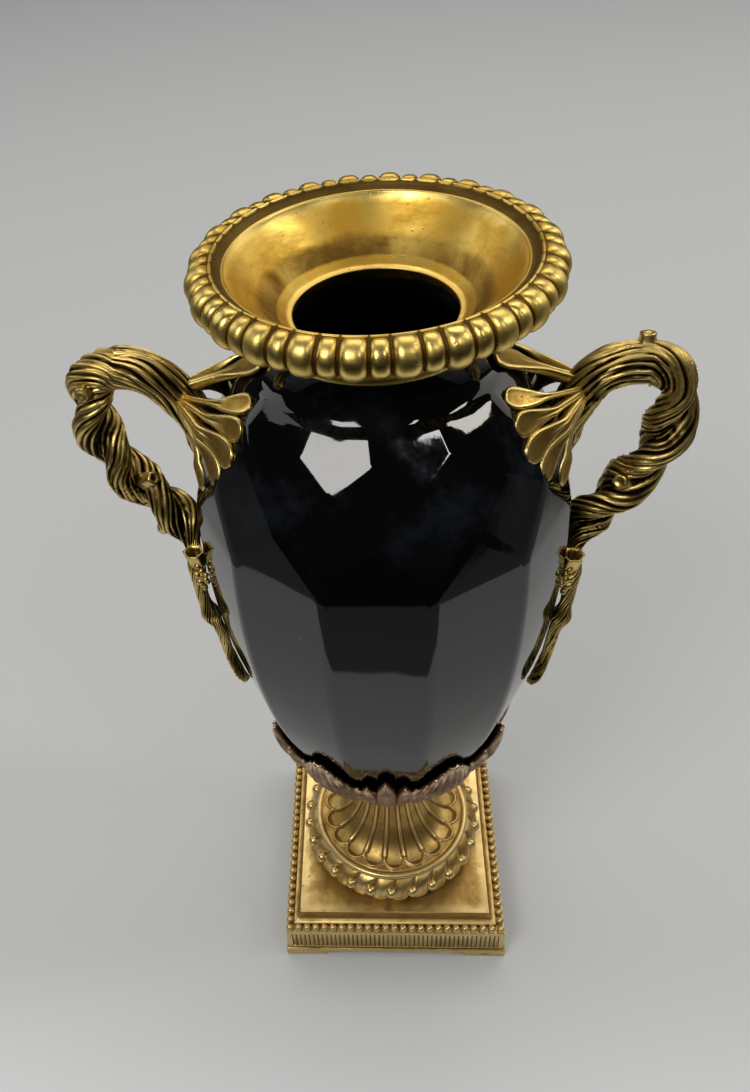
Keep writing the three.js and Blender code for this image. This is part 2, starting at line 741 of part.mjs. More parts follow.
// Materials
const blackGlaze = new THREE.MeshStandardMaterial({ color: 0x0a0a0c, roughness: 0.08, metalness: 0 });
const giltBronze = new THREE.MeshStandardMaterial({ color: 0xb8913a, roughness: 0.32, metalness: 1 });
const darkGilt = new THREE.MeshStandardMaterial({ color: 0x8a6c30, roughness: 0.4, metalness: 1 });
const brownBronze = new THREE.MeshStandardMaterial({ color: 0x7d614c, roughness: 0.5, metalness: 1 });

// Assembly
const vase = new THREE.Group();
vase.add(toMesh('plinth', plinth(), giltBronze));

const turned = new THREE.Group();
turned.rotation.z = rad(bodyTurn);
turned.add(toMesh('foot', foot(), giltBronze));
turned.add(toMesh('calyx', calyx(), brownBronze));
turned.add(toMesh('vase_body', vaseBody(), blackGlaze));
turned.add(toMesh('rim_mount', rimMount(), giltBronze));
for (const settings of handles) {
  const node = toMesh(settings.name, handle(settings), darkGilt);
  if (settings.side < 0) node.rotation.z = Math.PI;
  turned.add(node);
}
vase.add(turned);

export default vase;
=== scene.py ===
import math
import bmesh
import bpy
import numpy as np
from mathutils import Matrix


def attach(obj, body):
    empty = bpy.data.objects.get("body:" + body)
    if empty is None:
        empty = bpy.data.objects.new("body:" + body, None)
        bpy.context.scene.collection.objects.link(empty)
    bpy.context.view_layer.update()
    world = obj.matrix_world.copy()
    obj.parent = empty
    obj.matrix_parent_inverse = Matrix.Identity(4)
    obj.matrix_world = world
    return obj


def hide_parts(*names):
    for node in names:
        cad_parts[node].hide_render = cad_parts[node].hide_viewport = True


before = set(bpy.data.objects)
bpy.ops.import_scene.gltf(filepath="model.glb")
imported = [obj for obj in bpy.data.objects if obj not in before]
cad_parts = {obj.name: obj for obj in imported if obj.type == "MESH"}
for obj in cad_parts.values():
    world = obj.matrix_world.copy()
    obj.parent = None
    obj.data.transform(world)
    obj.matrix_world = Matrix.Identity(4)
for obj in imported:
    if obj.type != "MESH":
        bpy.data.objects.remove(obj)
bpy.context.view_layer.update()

mm = 0.001  # sizes are in mm until a mesh is made
bodyTurn = -1.7  # degrees that everything above the plinth is turned
levels = {"footBase": 41.7, "calyxBase": 149.5, "bodyBase": 157.3, "panelTop": 379.3, "neckFoot": 439.8,
          "neckTop": 464.8}


def linearColour(hexColour):
    parts = [int(hexColour[i:i + 2], 16) / 255 for i in (0, 2, 4)]
    return [c / 12.92 if c <= 0.04045 else ((c + 0.055) / 1.055) ** 2.4 for c in parts] + [1.0]


def addNode(tree, kind, settings=(), links=()):
    node = tree.nodes.new(kind)
    for name, value in dict(settings).items():
        if isinstance(name, str) and hasattr(node, name):
            setattr(node, name, value)
        else:
            node.inputs[name].default_value = value
    for name, source in dict(links).items():
        tree.links.new(source, node.inputs[name])
    return node


def smoothStep(low, high, value):
    t = np.clip((np.asarray(value, float) - low) / (high - low), 0, 1)
    return t * t * (3 - 2 * t)


def blend(a, b, t):
    return a + (b - a) * t


def turned(points, degrees):
    c, s = math.cos(math.radians(degrees)), math.sin(math.radians(degrees))
    x, y, z = np.asarray(points, float).reshape(-1, 3).T
    return np.column_stack([x * c - y * s, x * s + y * c, z])


def makePiece(name, points, faces, turn=bodyTurn):
    mesh = bpy.data.meshes.new(name)
    mesh.from_pydata((turned(points, turn) * mm).tolist(), [], faces)
    mesh.shade_smooth()
    piece = bpy.data.objects.new(name, mesh)
    bpy.context.collection.objects.link(piece)
    return piece


def gridFaces(rows, columns, wrapRows=False, wrapColumns=False):
    faces = []
    for i in range(rows if wrapRows else rows - 1):
        for k in range(columns if wrapColumns else columns - 1):
            low, high, beside = i * columns, (i + 1) % rows * columns, (k + 1) % columns
            faces.append((low + k, low + beside, high + beside, high + k))
    return faces


def closedFaces(rows, sides):  # rings joined in a row, with a cap at both ends
    last = (rows - 1) * sides
    return gridFaces(rows, sides, wrapColumns=True) + [tuple(range(sides))[::-1], tuple(range(last, last + sides))]


def joinParts(parts):  # parts are (points, faces) with faces counted from 0
    points, faces, base = [], [], 0
    for some, theirs in parts:
        some = np.asarray(some, float).reshape(-1, 3)
        points.append(some)
        faces += [tuple(base + i for i in face) for face in theirs]
        base += len(some)
    return np.vstack(points), faces


def sectorPart(angle, radius, height):  # a slice of a turned form, its profile is a closed loop
    angle, radius, height = np.broadcast_arrays(angle, radius, height)
    a = np.radians(angle)
    points = np.stack([radius * np.cos(a), radius * np.sin(a), height], -1).reshape(-1, 3)
    return points, gridFaces(*angle.shape, wrapRows=True)


def ballPart(centre, radius, sides, rows):
    tilt = np.radians(np.linspace(-80, 80, rows))[:, None]
    phi = np.linspace(0, 2 * math.pi, sides, endpoint=False)[None, :]
    points = np.stack([np.cos(tilt) * np.cos(phi), np.cos(tilt) * np.sin(phi), np.sin(tilt) + 0 * phi], -1)
    return points.reshape(-1, 3) * radius + np.asarray(centre, float), closedFaces(rows, sides)


def facePointsOut(mesh):
    work = bmesh.new()
    work.from_mesh(mesh)
    bmesh.ops.remove_doubles(work, verts=work.verts, dist=2e-6)
    bmesh.ops.recalc_face_normals(work, faces=work.faces)
    work.to_mesh(mesh)
    work.free()
    mesh.shade_smooth()


def markHollows(mesh, size):  # an attribute for wear with a painted highlight on edges and dirt with painted shade in hollows: 0 on an edge, 0.5 on a flat, 1 in a hollow
    count = len(mesh.vertices)
    co, no = np.empty(count * 3), np.empty(count * 3)
    mesh.vertices.foreach_get("co", co)
    mesh.vertices.foreach_get("normal", no)
    ends = np.empty(len(mesh.edges) * 2, int)
    mesh.edges.foreach_get("vertices", ends)
    co, no, ends = co.reshape(-1, 3), no.reshape(-1, 3), ends.reshape(-1, 2)
    a, b = np.concatenate([ends, ends[:, ::-1]]).T
    step = co[b] - co[a]
    length = np.maximum(np.linalg.norm(step, axis=1), 2e-5)
    links = np.maximum(np.bincount(a, minlength=count), 1)
    bend = np.bincount(a, (no[a] * step).sum(1) / length ** 2, count) / links * size * mm
    wide = bend
    for turn in range(12):  # each turn evens the bend out with the neighbours', two turns are kept for the fine edges
        wide = 0.4 * wide + 0.6 * np.bincount(a, wide[b], count) / links
        if turn == 1:
            bend = wide
    value = np.clip(0.5 + 0.25 * bend + 0.9 * wide, 0, 1)
    layer = mesh.attributes.new("hollow", "FLOAT", "POINT")
    layer.data.foreach_set("value", value.astype(np.float32))


def finishPiece(piece, material, node, size, extraDirtAndShade=None):
    facePointsOut(piece.data)
    settle(piece, material, node, size, extraDirtAndShade)


def settle(piece, material, node, size=1.5, extraDirtAndShade=None):
    markHollows(piece.data, size)
    if extraDirtAndShade:  # darkening that the shape alone doesn't give, by distance from the axis, height and angle: patina, dirt and painted shade
        count = len(piece.data.vertices)
        co, value = np.empty(count * 3), np.empty(count)
        piece.data.vertices.foreach_get("co", co)
        piece.data.attributes["hollow"].data.foreach_get("value", value)
        x, y, z = co.reshape(-1, 3).T / mm
        value = np.clip(value + extraDirtAndShade(np.hypot(x, y), z, np.degrees(np.arctan2(y, x)) - bodyTurn), 0, 1)
        piece.data.attributes["hollow"].data.foreach_set("value", value.astype(np.float32))
    piece.data.materials.clear()
    piece.data.materials.append(material)
    piece.data.polygons.foreach_set("material_index", [0] * len(piece.data.polygons))
    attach(piece, "root")
    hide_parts(node)
    print(piece.name, sum(len(p.vertices) - 2 for p in piece.data.polygons), "triangles")


# node trees that repeat a unit round the axis or along a line
def copiesTree(name, sockets):
    tree = bpy.data.node_groups.new(name, "GeometryNodeTree")
    tree.interface.new_socket("Geometry", in_out="INPUT", socket_type="NodeSocketGeometry")
    for socket, kind in sockets.items():
        tree.interface.new_socket(socket, in_out="INPUT", socket_type=kind)
    tree.interface.new_socket("Geometry", in_out="OUTPUT", socket_type="NodeSocketGeometry")
    return tree, addNode(tree, "NodeGroupInput").outputs


def endTree(tree, given, points, rotation=None):
    links = {"Points": points, "Instance": given["Geometry"]}
    if rotation:
        links["Rotation"] = rotation
    copies = addNode(tree, "GeometryNodeInstanceOnPoints", links=links)
    whole = addNode(tree, "GeometryNodeRealizeInstances", links={"Geometry": copies.outputs[0]})
    welded = addNode(tree, "GeometryNodeMergeByDistance", {"Distance": 4e-6}, {"Geometry": whole.outputs[0]})
    dressed = addNode(tree, "GeometryNodeSetMaterial",
                      links={"Geometry": welded.outputs[0], "Material": given["Material"]})
    addNode(tree, "NodeGroupOutput", links={0: dressed.outputs[0]})


def ringTree():
    tree, given = copiesTree("copies round the axis", {"Count": "NodeSocketInt", "Material": "NodeSocketMaterial"})
    points = addNode(tree, "GeometryNodePoints", links={"Count": given["Count"]})
    pitch = addNode(tree, "ShaderNodeMath", {"operation": "DIVIDE", 0: 2 * math.pi}, {1: given["Count"]})
    index = addNode(tree, "GeometryNodeInputIndex")
    angle = addNode(tree, "ShaderNodeMath", {"operation": "MULTIPLY"}, {0: index.outputs[0], 1: pitch.outputs[0]})
    euler = addNode(tree, "ShaderNodeCombineXYZ", links={"Z": angle.outputs[0]})
    rotation = addNode(tree, "FunctionNodeEulerToRotation", links={0: euler.outputs[0]})
    endTree(tree, given, points.outputs[0], rotation.outputs[0])
    return tree


def rowTree():
    tree, given = copiesTree("copies along a line", {"Count": "NodeSocketInt", "Step": "NodeSocketVector",
                                                     "Material": "NodeSocketMaterial"})
    index = addNode(tree, "GeometryNodeInputIndex")
    place = addNode(tree, "ShaderNodeVectorMath", {"operation": "SCALE"},
                    {"Vector": given["Step"], "Scale": index.outputs[0]})
    points = addNode(tree, "GeometryNodePoints", links={"Count": given["Count"], "Position": place.outputs[0]})
    endTree(tree, given, points.outputs[0])
    return tree


copiesRound = ringTree()
copiesAlong = rowTree()


def repeat(piece, tree, values):
    modifier = piece.modifiers.new(tree.name, "NODES")
    modifier.node_group = tree
    for item in tree.interface.items_tree:
        if item.in_out == "INPUT" and item.name in values:
            modifier[item.identifier] = values[item.name]
    bakeModifiers(piece)


def bakeModifiers(piece):
    evaluated = piece.evaluated_get(bpy.context.evaluated_depsgraph_get())
    mesh = bpy.data.meshes.new_from_object(evaluated)
    piece.modifiers.clear()
    piece.data = mesh


def newMaterial(name):
    material = bpy.data.materials.new(name)
    material.use_nodes = True
    tree = material.node_tree
    tree.nodes.clear()
    return material, tree, addNode(tree, "ShaderNodeTexCoord").outputs["Object"]


# Fire-gilt cast bronze: chased, gilt and burnished. Bright worn edges with a painted highlight, and brown lacquer, dirt
# and painted shade in every hollow.
def giltMaterial(name, look):
    material, tree, place = newMaterial(name)
    hollow = addNode(tree, "ShaderNodeAttribute", {"attribute_name": "hollow"}).outputs["Fac"]
    cloud = addNode(tree, "ShaderNodeTexNoise", {"Scale": 1000 / look["cloudSize"], "Detail": 6.0, "Roughness": 0.62,
                                                 "Distortion": 0.5}, {"Vector": place}).outputs[0]
    grain = addNode(tree, "ShaderNodeTexNoise", {"Scale": 1000 / look["grainSize"], "Detail": 3.0},
                    {"Vector": place}).outputs[0]
    stretched = addNode(tree, "ShaderNodeMapping", {"Scale": look["wipe"], "Rotation": (0.3, 0.2, 0.5)},
                        {"Vector": place}).outputs[0]
    wipes = addNode(tree, "ShaderNodeTexNoise", {"Scale": 1.0, "Detail": 4.0, "Roughness": 0.7},
                    {"Vector": stretched}).outputs[0]
    cells = addNode(tree, "ShaderNodeTexVoronoi", {"Scale": 1000 / look["pitSpacing"]},
                    {"Vector": place}).outputs["Distance"]
    uneven = addNode(tree, "ShaderNodeMath", {"operation": "MULTIPLY_ADD", 1: 0.16, 2: -0.08}, {0: cloud}).outputs[0]
    # the hollow attribute steers dirt with painted shade into hollows, and wear with a painted highlight onto edges
    dirtAndShadeAt = addNode(tree, "ShaderNodeMath", {"operation": "ADD"}, {0: hollow, 1: uneven}).outputs[0]
    effects = {}
    # each effect starts at one value of its pattern, is complete at the next, and runs from one strength to another
    for label, pattern, start, end, weak, strong in (
            ("mottled", cloud, 0.35, 0.68, 0, 1), ("wiped", wipes, 0.45, 0.75, 0, 0.45),
            ("wornAndHighlit", dirtAndShadeAt, 0.48, 0.38, 0, look["wearAndHighlight"]), ("pits", cells, 0.05, 0.13, 1, 0),
            ("pitShade", cells, 0.05, 0.13, 0.6, 0),
            ("dirtAndShade", dirtAndShadeAt, look["dirtAndShadeFrom"], look["dirtAndShadeTo"], 0, look["dirtAndShade"]),
            ("patches", cloud, 0.3, 0.7, *look["rough"]), ("streaks", wipes, 0.4, 0.7, -0.03, 0.07)):
        settings = {"interpolation_type": "SMOOTHSTEP", "From Min": start, "From Max": end, "To Min": weak,
                    "To Max": strong}
        effects[label] = addNode(tree, "ShaderNodeMapRange", settings, {"Value": pattern}).outputs[0]
    gold = addNode(tree, "ShaderNodeMix", {"data_type": "RGBA", 6: linearColour(look["gold"]),
                                           7: linearColour(look["warm"])}, {0: effects["mottled"]}).outputs[2]
    # the bright colour on edges is wear and a painted highlight, the dark colour in hollows is dirt and painted shade
    for colour, label in (("dull", "wiped"), ("bright", "wornAndHighlit"), ("dull", "pitShade"), ("dirtAndShadeColour", "dirtAndShade")):
        gold = addNode(tree, "ShaderNodeMix", {"data_type": "RGBA", 7: linearColour(look[colour])},
                       {0: effects[label], 6: gold}).outputs[2]
    rough = effects["patches"]
    for label, amount in (("dirtAndShade", 0.25), ("streaks", 1.0), ("wornAndHighlit", -0.08)):
        rough = addNode(tree, "ShaderNodeMath", {"operation": "MULTIPLY_ADD", 1: amount},
                        {0: effects[label], 2: rough}).outputs[0]
    relief = addNode(tree, "ShaderNodeMath", {"operation": "MULTIPLY", 1: -0.8}, {0: effects["pits"]}).outputs[0]
    for pattern in (grain, wipes):
        relief = addNode(tree, "ShaderNodeMath", {"operation": "MULTIPLY_ADD", 1: 0.5},
                         {0: pattern, 2: relief}).outputs[0]
    bump = addNode(tree, "ShaderNodeBump", {"Strength": look["bump"], "Distance": look["reliefHeight"] * mm},
                   {"Height": relief})
    shader = addNode(tree, "ShaderNodeBsdfPrincipled", {"Metallic": 1.0},
                     {"Base Color": gold, "Roughness": rough, "Normal": bump.outputs[0]})
    addNode(tree, "ShaderNodeOutputMaterial", links={"Surface": shader.outputs[0]})
    return material


giltLooks = {
    "burnished gilt bronze": {  # rim: the bowl is wiped bright, with cloudy wiping marks and tiny casting pits
        "gold": "e3c05e", "warm": "cda03c", "dull": "a37c30", "bright": "f2d67e", "dirtAndShadeColour": "43301c",
        "cloudSize": 26, "grainSize": 0.7, "wipe": (45, 45, 200), "pitSpacing": 5.5, "rough": (0.36, 0.5),
        "dirtAndShadeFrom": 0.58, "dirtAndShadeTo": 0.72, "dirtAndShade": 0.85, "wearAndHighlight": 0.8, "bump": 0.35, "reliefHeight": 0.25},
    "matt gilt bronze": {  # foot and plinth: warmer and duller, the gilding was left matt
        "gold": "cbab68", "warm": "aa884a", "dull": "86693a", "bright": "e6ce92", "dirtAndShadeColour": "33240f",
        "cloudSize": 22, "grainSize": 0.8, "wipe": (90, 90, 90), "pitSpacing": 6.5, "rough": (0.4, 0.54),
        "dirtAndShadeFrom": 0.61, "dirtAndShadeTo": 0.82, "dirtAndShade": 0.88, "wearAndHighlight": 0.8, "bump": 0.4, "reliefHeight": 0.3},
    "antique gilt bronze": {  # handles: gilding rubbed thin, dark lacquer and painted shade between the strands, a painted highlight on crests
        "gold": "8a6c32", "warm": "624a24", "dull": "3a2b16", "bright": "e2c678", "dirtAndShadeColour": "0f0a05",
        "cloudSize": 18, "grainSize": 0.8, "wipe": (140, 140, 50), "pitSpacing": 6, "rough": (0.4, 0.54),
        "dirtAndShadeFrom": 0.43, "dirtAndShadeTo": 0.56, "dirtAndShade": 0.97, "wearAndHighlight": 1.0, "bump": 0.5, "reliefHeight": 0.35},
    "rubbed gilt bronze": {  # lobes of the spray: hands have rubbed the dark lacquer off them
        "gold": "d4b05c", "warm": "a98442", "dull": "7a5d2f", "bright": "efd686", "dirtAndShadeColour": "1d150b",
        "cloudSize": 12, "grainSize": 0.7, "wipe": (110, 110, 110), "pitSpacing": 5, "rough": (0.34, 0.48),
        "dirtAndShadeFrom": 0.51, "dirtAndShadeTo": 0.66, "dirtAndShade": 0.92, "wearAndHighlight": 0.8, "bump": 0.45, "reliefHeight": 0.3},
    "brown bronze": {  # calyx: pinkish brown where the gilding has gone
        "gold": "a28263", "warm": "7e624b", "dull": "523d2e", "bright": "dcbd98", "dirtAndShadeColour": "1c1410",
        "cloudSize": 14, "grainSize": 0.7, "wipe": (120, 120, 60), "pitSpacing": 6, "rough": (0.42, 0.56),
        "dirtAndShadeFrom": 0.54, "dirtAndShadeTo": 0.68, "dirtAndShade": 0.94, "wearAndHighlight": 1.0, "bump": 0.5, "reliefHeight": 0.35},
}
gilt = {name: giltMaterial(name, look) for name, look in giltLooks.items()}


# Hard-paste porcelain, moulded and dipped in a black mirror glaze: deep black, sharp reflections that swim a little.
glazeLook = {"black": "040405", "haze": "39424a", "hazeSize": 42, "hazeHeights": (0.37, 0.43), "swimSize": 34,
             "swimHeight": 0.4, "peelSize": 3.2, "peelHeight": 0.012, "speck": "8c8c88", "speckSpacing": 24,
             "rough": (0.025, 0.075)}


def glazeMaterial(look):
    material, tree, place = newMaterial("black mirror glaze")
    cloud = addNode(tree, "ShaderNodeTexNoise", {"Scale": 1000 / look["hazeSize"], "Detail": 7.0, "Roughness": 0.7},
                    {"Vector": place}).outputs[0]
    height = addNode(tree, "ShaderNodeSeparateXYZ", links={"Vector": place}).outputs["Z"]
    cells = addNode(tree, "ShaderNodeTexVoronoi", {"Scale": 1000 / look["speckSpacing"]},
                    {"Vector": place}).outputs["Distance"]
    effects = {}
    # dust and handling marks lie on the shoulder, where hands hold the vase, and thin out below
    for label, pattern, start, end, weak, strong in (
            ("shoulder", height, *look["hazeHeights"], 0, 1), ("dust", cloud, 0.5, 0.8, 0, 1),
            ("specks", cells, 0.012, 0.02, 0.5, 0), ("rough", cloud, 0.3, 0.75, *look["rough"])):
        settings = {"interpolation_type": "SMOOTHSTEP", "From Min": start, "From Max": end, "To Min": weak,
                    "To Max": strong}
        effects[label] = addNode(tree, "ShaderNodeMapRange", settings, {"Value": pattern}).outputs[0]
    haze = addNode(tree, "ShaderNodeMath", {"operation": "MULTIPLY"},
                   {0: effects["dust"], 1: effects["shoulder"]}).outputs[0]
    faint = addNode(tree, "ShaderNodeMath", {"operation": "MULTIPLY", 1: 0.2}, {0: haze}).outputs[0]
    rough = addNode(tree, "ShaderNodeMath", {"operation": "MULTIPLY_ADD", 1: 0.12},
                    {0: haze, 2: effects["rough"]}).outputs[0]
    colour = addNode(tree, "ShaderNodeMix", {"data_type": "RGBA", 6: linearColour(look["black"]),
                                             7: linearColour(look["haze"])}, {0: faint}).outputs[2]
    colour = addNode(tree, "ShaderNodeMix", {"data_type": "RGBA", 7: linearColour(look["speck"])},
                     {0: effects["specks"], 6: colour}).outputs[2]
    swim = addNode(tree, "ShaderNodeTexNoise", {"Scale": 1000 / look["swimSize"], "Detail": 1.0}, {"Vector": place})
    peel = addNode(tree, "ShaderNodeTexNoise", {"Scale": 1000 / look["peelSize"], "Detail": 2.0}, {"Vector": place})
    swimBump = addNode(tree, "ShaderNodeBump", {"Strength": 1.0, "Distance": look["swimHeight"] * mm},
                       {"Height": swim.outputs[0]})
    peelBump = addNode(tree, "ShaderNodeBump", {"Strength": 1.0, "Distance": look["peelHeight"] * mm},
                       {"Height": peel.outputs[0], "Normal": swimBump.outputs[0]})
    shader = addNode(tree, "ShaderNodeBsdfPrincipled", {"Metallic": 0.0, "IOR": 1.46},
                     {"Base Color": colour, "Roughness": rough, "Normal": peelBump.outputs[0]})
    addNode(tree, "ShaderNodeOutputMaterial", links={"Surface": shader.outputs[0]})
    return material


glaze = glazeMaterial(glazeLook)
print("materials made")


bodySizes = {"panels": 12, "bellyRadius": 93.2, "semiAxis": 205, "widest": 187, "panelTop": 222, "stations": 30,
             "rowRise": (0, 23.5, 42, 53.5, 60.5), "rowRadius": (84.3, 74.6, 65.5, 57.2), "neckHeight": 25,
             "neckRadius": 45.3, "boreRadius": 39, "wall": 5, "edgeRounding": 3.0}
panelPitch = 360 / bodySizes["panels"]


def panelRadius(height):
    s = bodySizes
    return s["bellyRadius"] * np.sqrt(np.maximum(1 - ((height - s["widest"]) / s["semiAxis"]) ** 2, 0))


def neckRadiusAt(z):
    s = bodySizes
    share = np.clip((levels["neckTop"] - z) / s["neckHeight"], 0, 1)
    return s["neckRadius"] + (s["rowRadius"][3] - s["neckRadius"]) * (1 - np.sqrt(1 - share ** 2.2))


def edgeRadius(z):
    s, top = bodySizes, levels["panelTop"]
    z = np.asarray(z, float)
    shoulder = np.interp(z, [top + r for r in s["rowRise"]], [panelRadius(s["panelTop"]), *s["rowRadius"]])
    return np.where(z <= top, panelRadius(z - levels["bodyBase"]), np.where(z < levels["neckFoot"], shoulder,
                                                                            neckRadiusAt(z)))


def flatSideRadius(edge, angle):
    half = panelPitch / 2
    middle = np.mod(np.asarray(angle, float) + half, panelPitch) - half
    return edge * math.cos(math.radians(half)) / np.cos(np.radians(middle))


def buildBody():
    s, base, top = bodySizes, levels["bodyBase"], levels["panelTop"]
    points, rounded, faces = [], [], []

    def ringOf(count, first, radius, z):
        start = len(points)
        for i in range(count):
            a = math.radians(first + i * 360 / count)
            points.append((radius * math.cos(a), radius * math.sin(a), z))
        return [start + i for i in range(count)]

    def bridge(low, high):
        n = len(low)
        for i in range(n):
            faces.append((low[i], low[(i + 1) % n], high[(i + 1) % n], high[i]))

    n, half = s["panels"], panelPitch / 2
    rings = [ringOf(n, half, float(panelRadius(s["panelTop"] * (i / s["stations"]) ** 1.1)),
                    base + s["panelTop"] * (i / s["stations"]) ** 1.1) for i in range(s["stations"] + 1)]
    for low, high in zip(rings, rings[1:]):
        bridge(low, high)
        rounded += [(low[i], high[i]) for i in range(n)]
    faces.append(tuple(reversed(rings[0])))
    rows = [rings[-1]] + [ringOf(n, panelPitch if k % 2 == 0 else half, s["rowRadius"][k], top + s["rowRise"][k + 1])
                          for k in range(3)]
    neck = [ringOf(2 * n, half, float(neckRadiusAt(z)), z)
            for z in levels["neckFoot"] + s["neckHeight"] * np.linspace(0, 1, 10) ** 1.4]
    r0, r1, r2, r3 = rows  # r0 and r2 stand over the panel edges, r1 and r3 over the panel middles
    for i in range(n):
        j = (i + 1) % n
        faces.append((r0[i], r0[j], r1[i]))  # point over a panel
        faces.append((r0[i], r1[i], r2[i], r1[i - 1]))
        faces.append((r1[i], r2[j], r3[i], r2[i]))
        k = 2 * i  # neck corner over this edge, its neighbours are over the panel middles
        faces.append((r2[i], r3[i], neck[0][k + 1], neck[0][k], neck[0][k - 1], r3[i - 1]))
        rounded += [(r0[i], r0[j]), (r0[i], r1[i]), (r0[j], r1[i]), (r1[i], r2[i]), (r1[i], r2[j]), (r2[i], r3[i]),
                    (r2[j], r3[i]), (r3[i], neck[0][k + 1])]
    for low, high in zip(neck, neck[1:]):
        bridge(low, high)
    bore = [ringOf(2 * n, half, s["boreRadius"], levels["neckTop"] - d) for d in (0, 6, 12.5)]
    insideZ = list(np.linspace(levels["neckFoot"] - 2, top, 6)) + list(np.linspace(top - 12, base + 9, 12))
    bore += [ringOf(2 * n, half, float(max(s["boreRadius"] * 0.5, edgeRadius(z) * 0.966 - s["wall"] * 1.3)), z)
             for z in insideZ]
    bridge(neck[-1], bore[0])
    for low, high in zip(bore, bore[1:]):
        bridge(low, high)
    faces.append(tuple(bore[-1]))
    piece = makePiece("porcelain_body", points, faces)
    mesh = piece.data
    facePointsOut(mesh)
    weights = mesh.attributes.new("bevel_weight_edge", "FLOAT", "EDGE")
    # the mesh was only welded, so its points kept their order
    wanted = {tuple(sorted(e)): 1.0 for e in rounded}
    weights.data.foreach_set("value", [wanted.get(tuple(sorted(e.vertices)), 0.0) for e in mesh.edges])
    rounding = piece.modifiers.new("edges", "BEVEL")
    rounding.limit_method, rounding.width, rounding.segments = "WEIGHT", s["edgeRounding"] * mm, 4
    rounding.use_clamp_overlap, rounding.loop_slide = False, False
    even = piece.modifiers.new("even", "WEIGHTED_NORMAL")
    even.weight = 80
    bakeModifiers(piece)
    settle(piece, glaze, "vase_body")


buildBody()


rimSizes = {"ringRadius": 69.7, "ringRise": 22, "section": 7.0, "lobeRise": 2.1, "grooveSink": 1.9,
            "grooveDirtAndShade": 0.42, "flankDirtAndShade": 1.0, "pairs": 24, "wideShare": 0.575, "phase": 3.1,
            "ridge": (67, 29.8), "bowlEdge": (61.8, 26.2), "mouth": (36.9, 2.1), "bowlCurve": 1.2}


def buildRim():
    s, top = rimSizes, levels["neckTop"]
    pitch = 360 / s["pairs"]
    narrow = 1 - s["wideShare"]
    u = np.concatenate([np.linspace(0, narrow, 15)[:-1], np.linspace(narrow, 1, 19)])
    inNarrow = u < narrow - 1e-9
    v = np.where(inNarrow, u / narrow, (u - narrow) / (1 - narrow))
    crown = (1 - np.abs(2 * v - 1) ** 3) ** 0.75 * np.where(inNarrow, 0.78, 1.0)
    angle = -90 + s["phase"] - narrow * pitch / 2 + u * pitch
    rows = []

    def row(radius, z, lobe=0.0, tilt=0.0):
        reach = lobe * (s["lobeRise"] * crown - s["grooveSink"] * (1 - crown))
        rows.append((radius + reach * math.cos(tilt), top + z + reach * math.sin(tilt)))

    collar = (48.4, -4.5), (48.7, -3.6), (48.4, -2.4), (48.2, 0.6), (49.6, 1.6), (49.4, 2.6), (51.2, 5.5), (55.5, 8.8)
    for radius, z in collar:
        row(radius, z)
    for tilt in np.radians(np.linspace(-75, 100, 28)):
        taper = math.cos(tilt * 0.85) ** 0.35
        row(s["ringRadius"] + s["section"] * math.cos(tilt), s["ringRise"] + s["section"] * math.sin(tilt), taper, tilt)
    ridgeR, ridgeZ = s["ridge"]
    edgeR, edgeZ = s["bowlEdge"]
    for dr, dz in ((1.2, -0.7), (0.95, -0.2), (0.5, 0.1), (0.1, 0.0), (-0.3, -0.5), (-0.6, -1.6),
                   (-1.4, -2.6), (-2.4, -3.1)):
        row(ridgeR + dr, ridgeZ + dz)
    for dr, dz in ((2.0, -0.2), (1.2, 0.4), (0.4, 0.3), (0.0, -0.4)):
        row(edgeR + dr, edgeZ + dz)
    for t in np.linspace(0.04, 1, 14):
        row(blend(edgeR, s["mouth"][0], t), blend(edgeZ - 1.2, s["mouth"][1], 1 - (1 - t) ** s["bowlCurve"]))
    for radius, z in ((36.2, 2.5), (35.6, 2.1), (35.8, 1.2), (37.1, 0.6), (37.3, -3), (38.7, -3), (38.7, 0.3),
                      (45.6, 0.3), (46.0, -4.5)):
        row(radius, z)
    radius = np.array([np.broadcast_to(r, u.shape) for r, z in rows])
    height = np.array([np.broadcast_to(z, u.shape) for r, z in rows])
    points, faces = sectorPart(angle[None, :], radius, height)
    piece = makePiece("rim_with_bowl", points, faces)
    repeat(piece, copiesRound, {"Count": s["pairs"], "Material": gilt["burnished gilt bronze"]})

    def ringPatinaDirtAndShade(radius, z, angle):  # the ridge round the bowl is brown patina; the lobes' grooves and flanks get dirt and painted shade, everything under the lobes painted shade
        onRidge = smoothStep(61.9, 62.8, radius) * smoothStep(67.2, 66.6, radius) * (z > top + 23)
        share = np.mod((angle + 90 - s["phase"]) / pitch + narrow / 2, 1)
        fromGroove = np.minimum(np.minimum(share, 1 - share), np.abs(share - narrow)) * pitch
        onLobes = (radius > 66) * (z > top + 12)
        # dirt and painted shade along the grooves between the lobes and on their flanks
        groove = np.exp(-(fromGroove / s["grooveDirtAndShade"]) ** 2) * onLobes
        flank = np.exp(-(fromGroove / s["flankDirtAndShade"]) ** 2) * onLobes
        innerSide = smoothStep(72.5, 69.5, radius) * (radius > 66) * (z > top + 23)
        # painted shade under the lobes
        underShade = (1 - smoothStep(top + 10, top + 17, z)) * (radius > 42)
        return 0.3 * onRidge + 0.15 * innerSide + 0.4 * groove + 0.27 * flank + 0.14 * underShade

    finishPiece(piece, gilt["burnished gilt bronze"], "rim_mount", 2.8, ringPatinaDirtAndShade)


buildRim()


footSizes = {"torusRadius": 49.5, "torusHeight": 25.5, "bulge": 11.3, "lobes": 26, "lobeDepth": 4.2, "slant": 5,
             "curl": 3.4, "pearl": 7.8, "pearlTilt": 18, "flutes": 18, "fluteDepth": 1.9, "fluteEnd": 47.3,
             "fluteShare": 0.425, "fluteBorder": 0.9, "flutePhase": 3.7, "waist": 18.2, "knopHeight": 9,
             "height": 107.5}


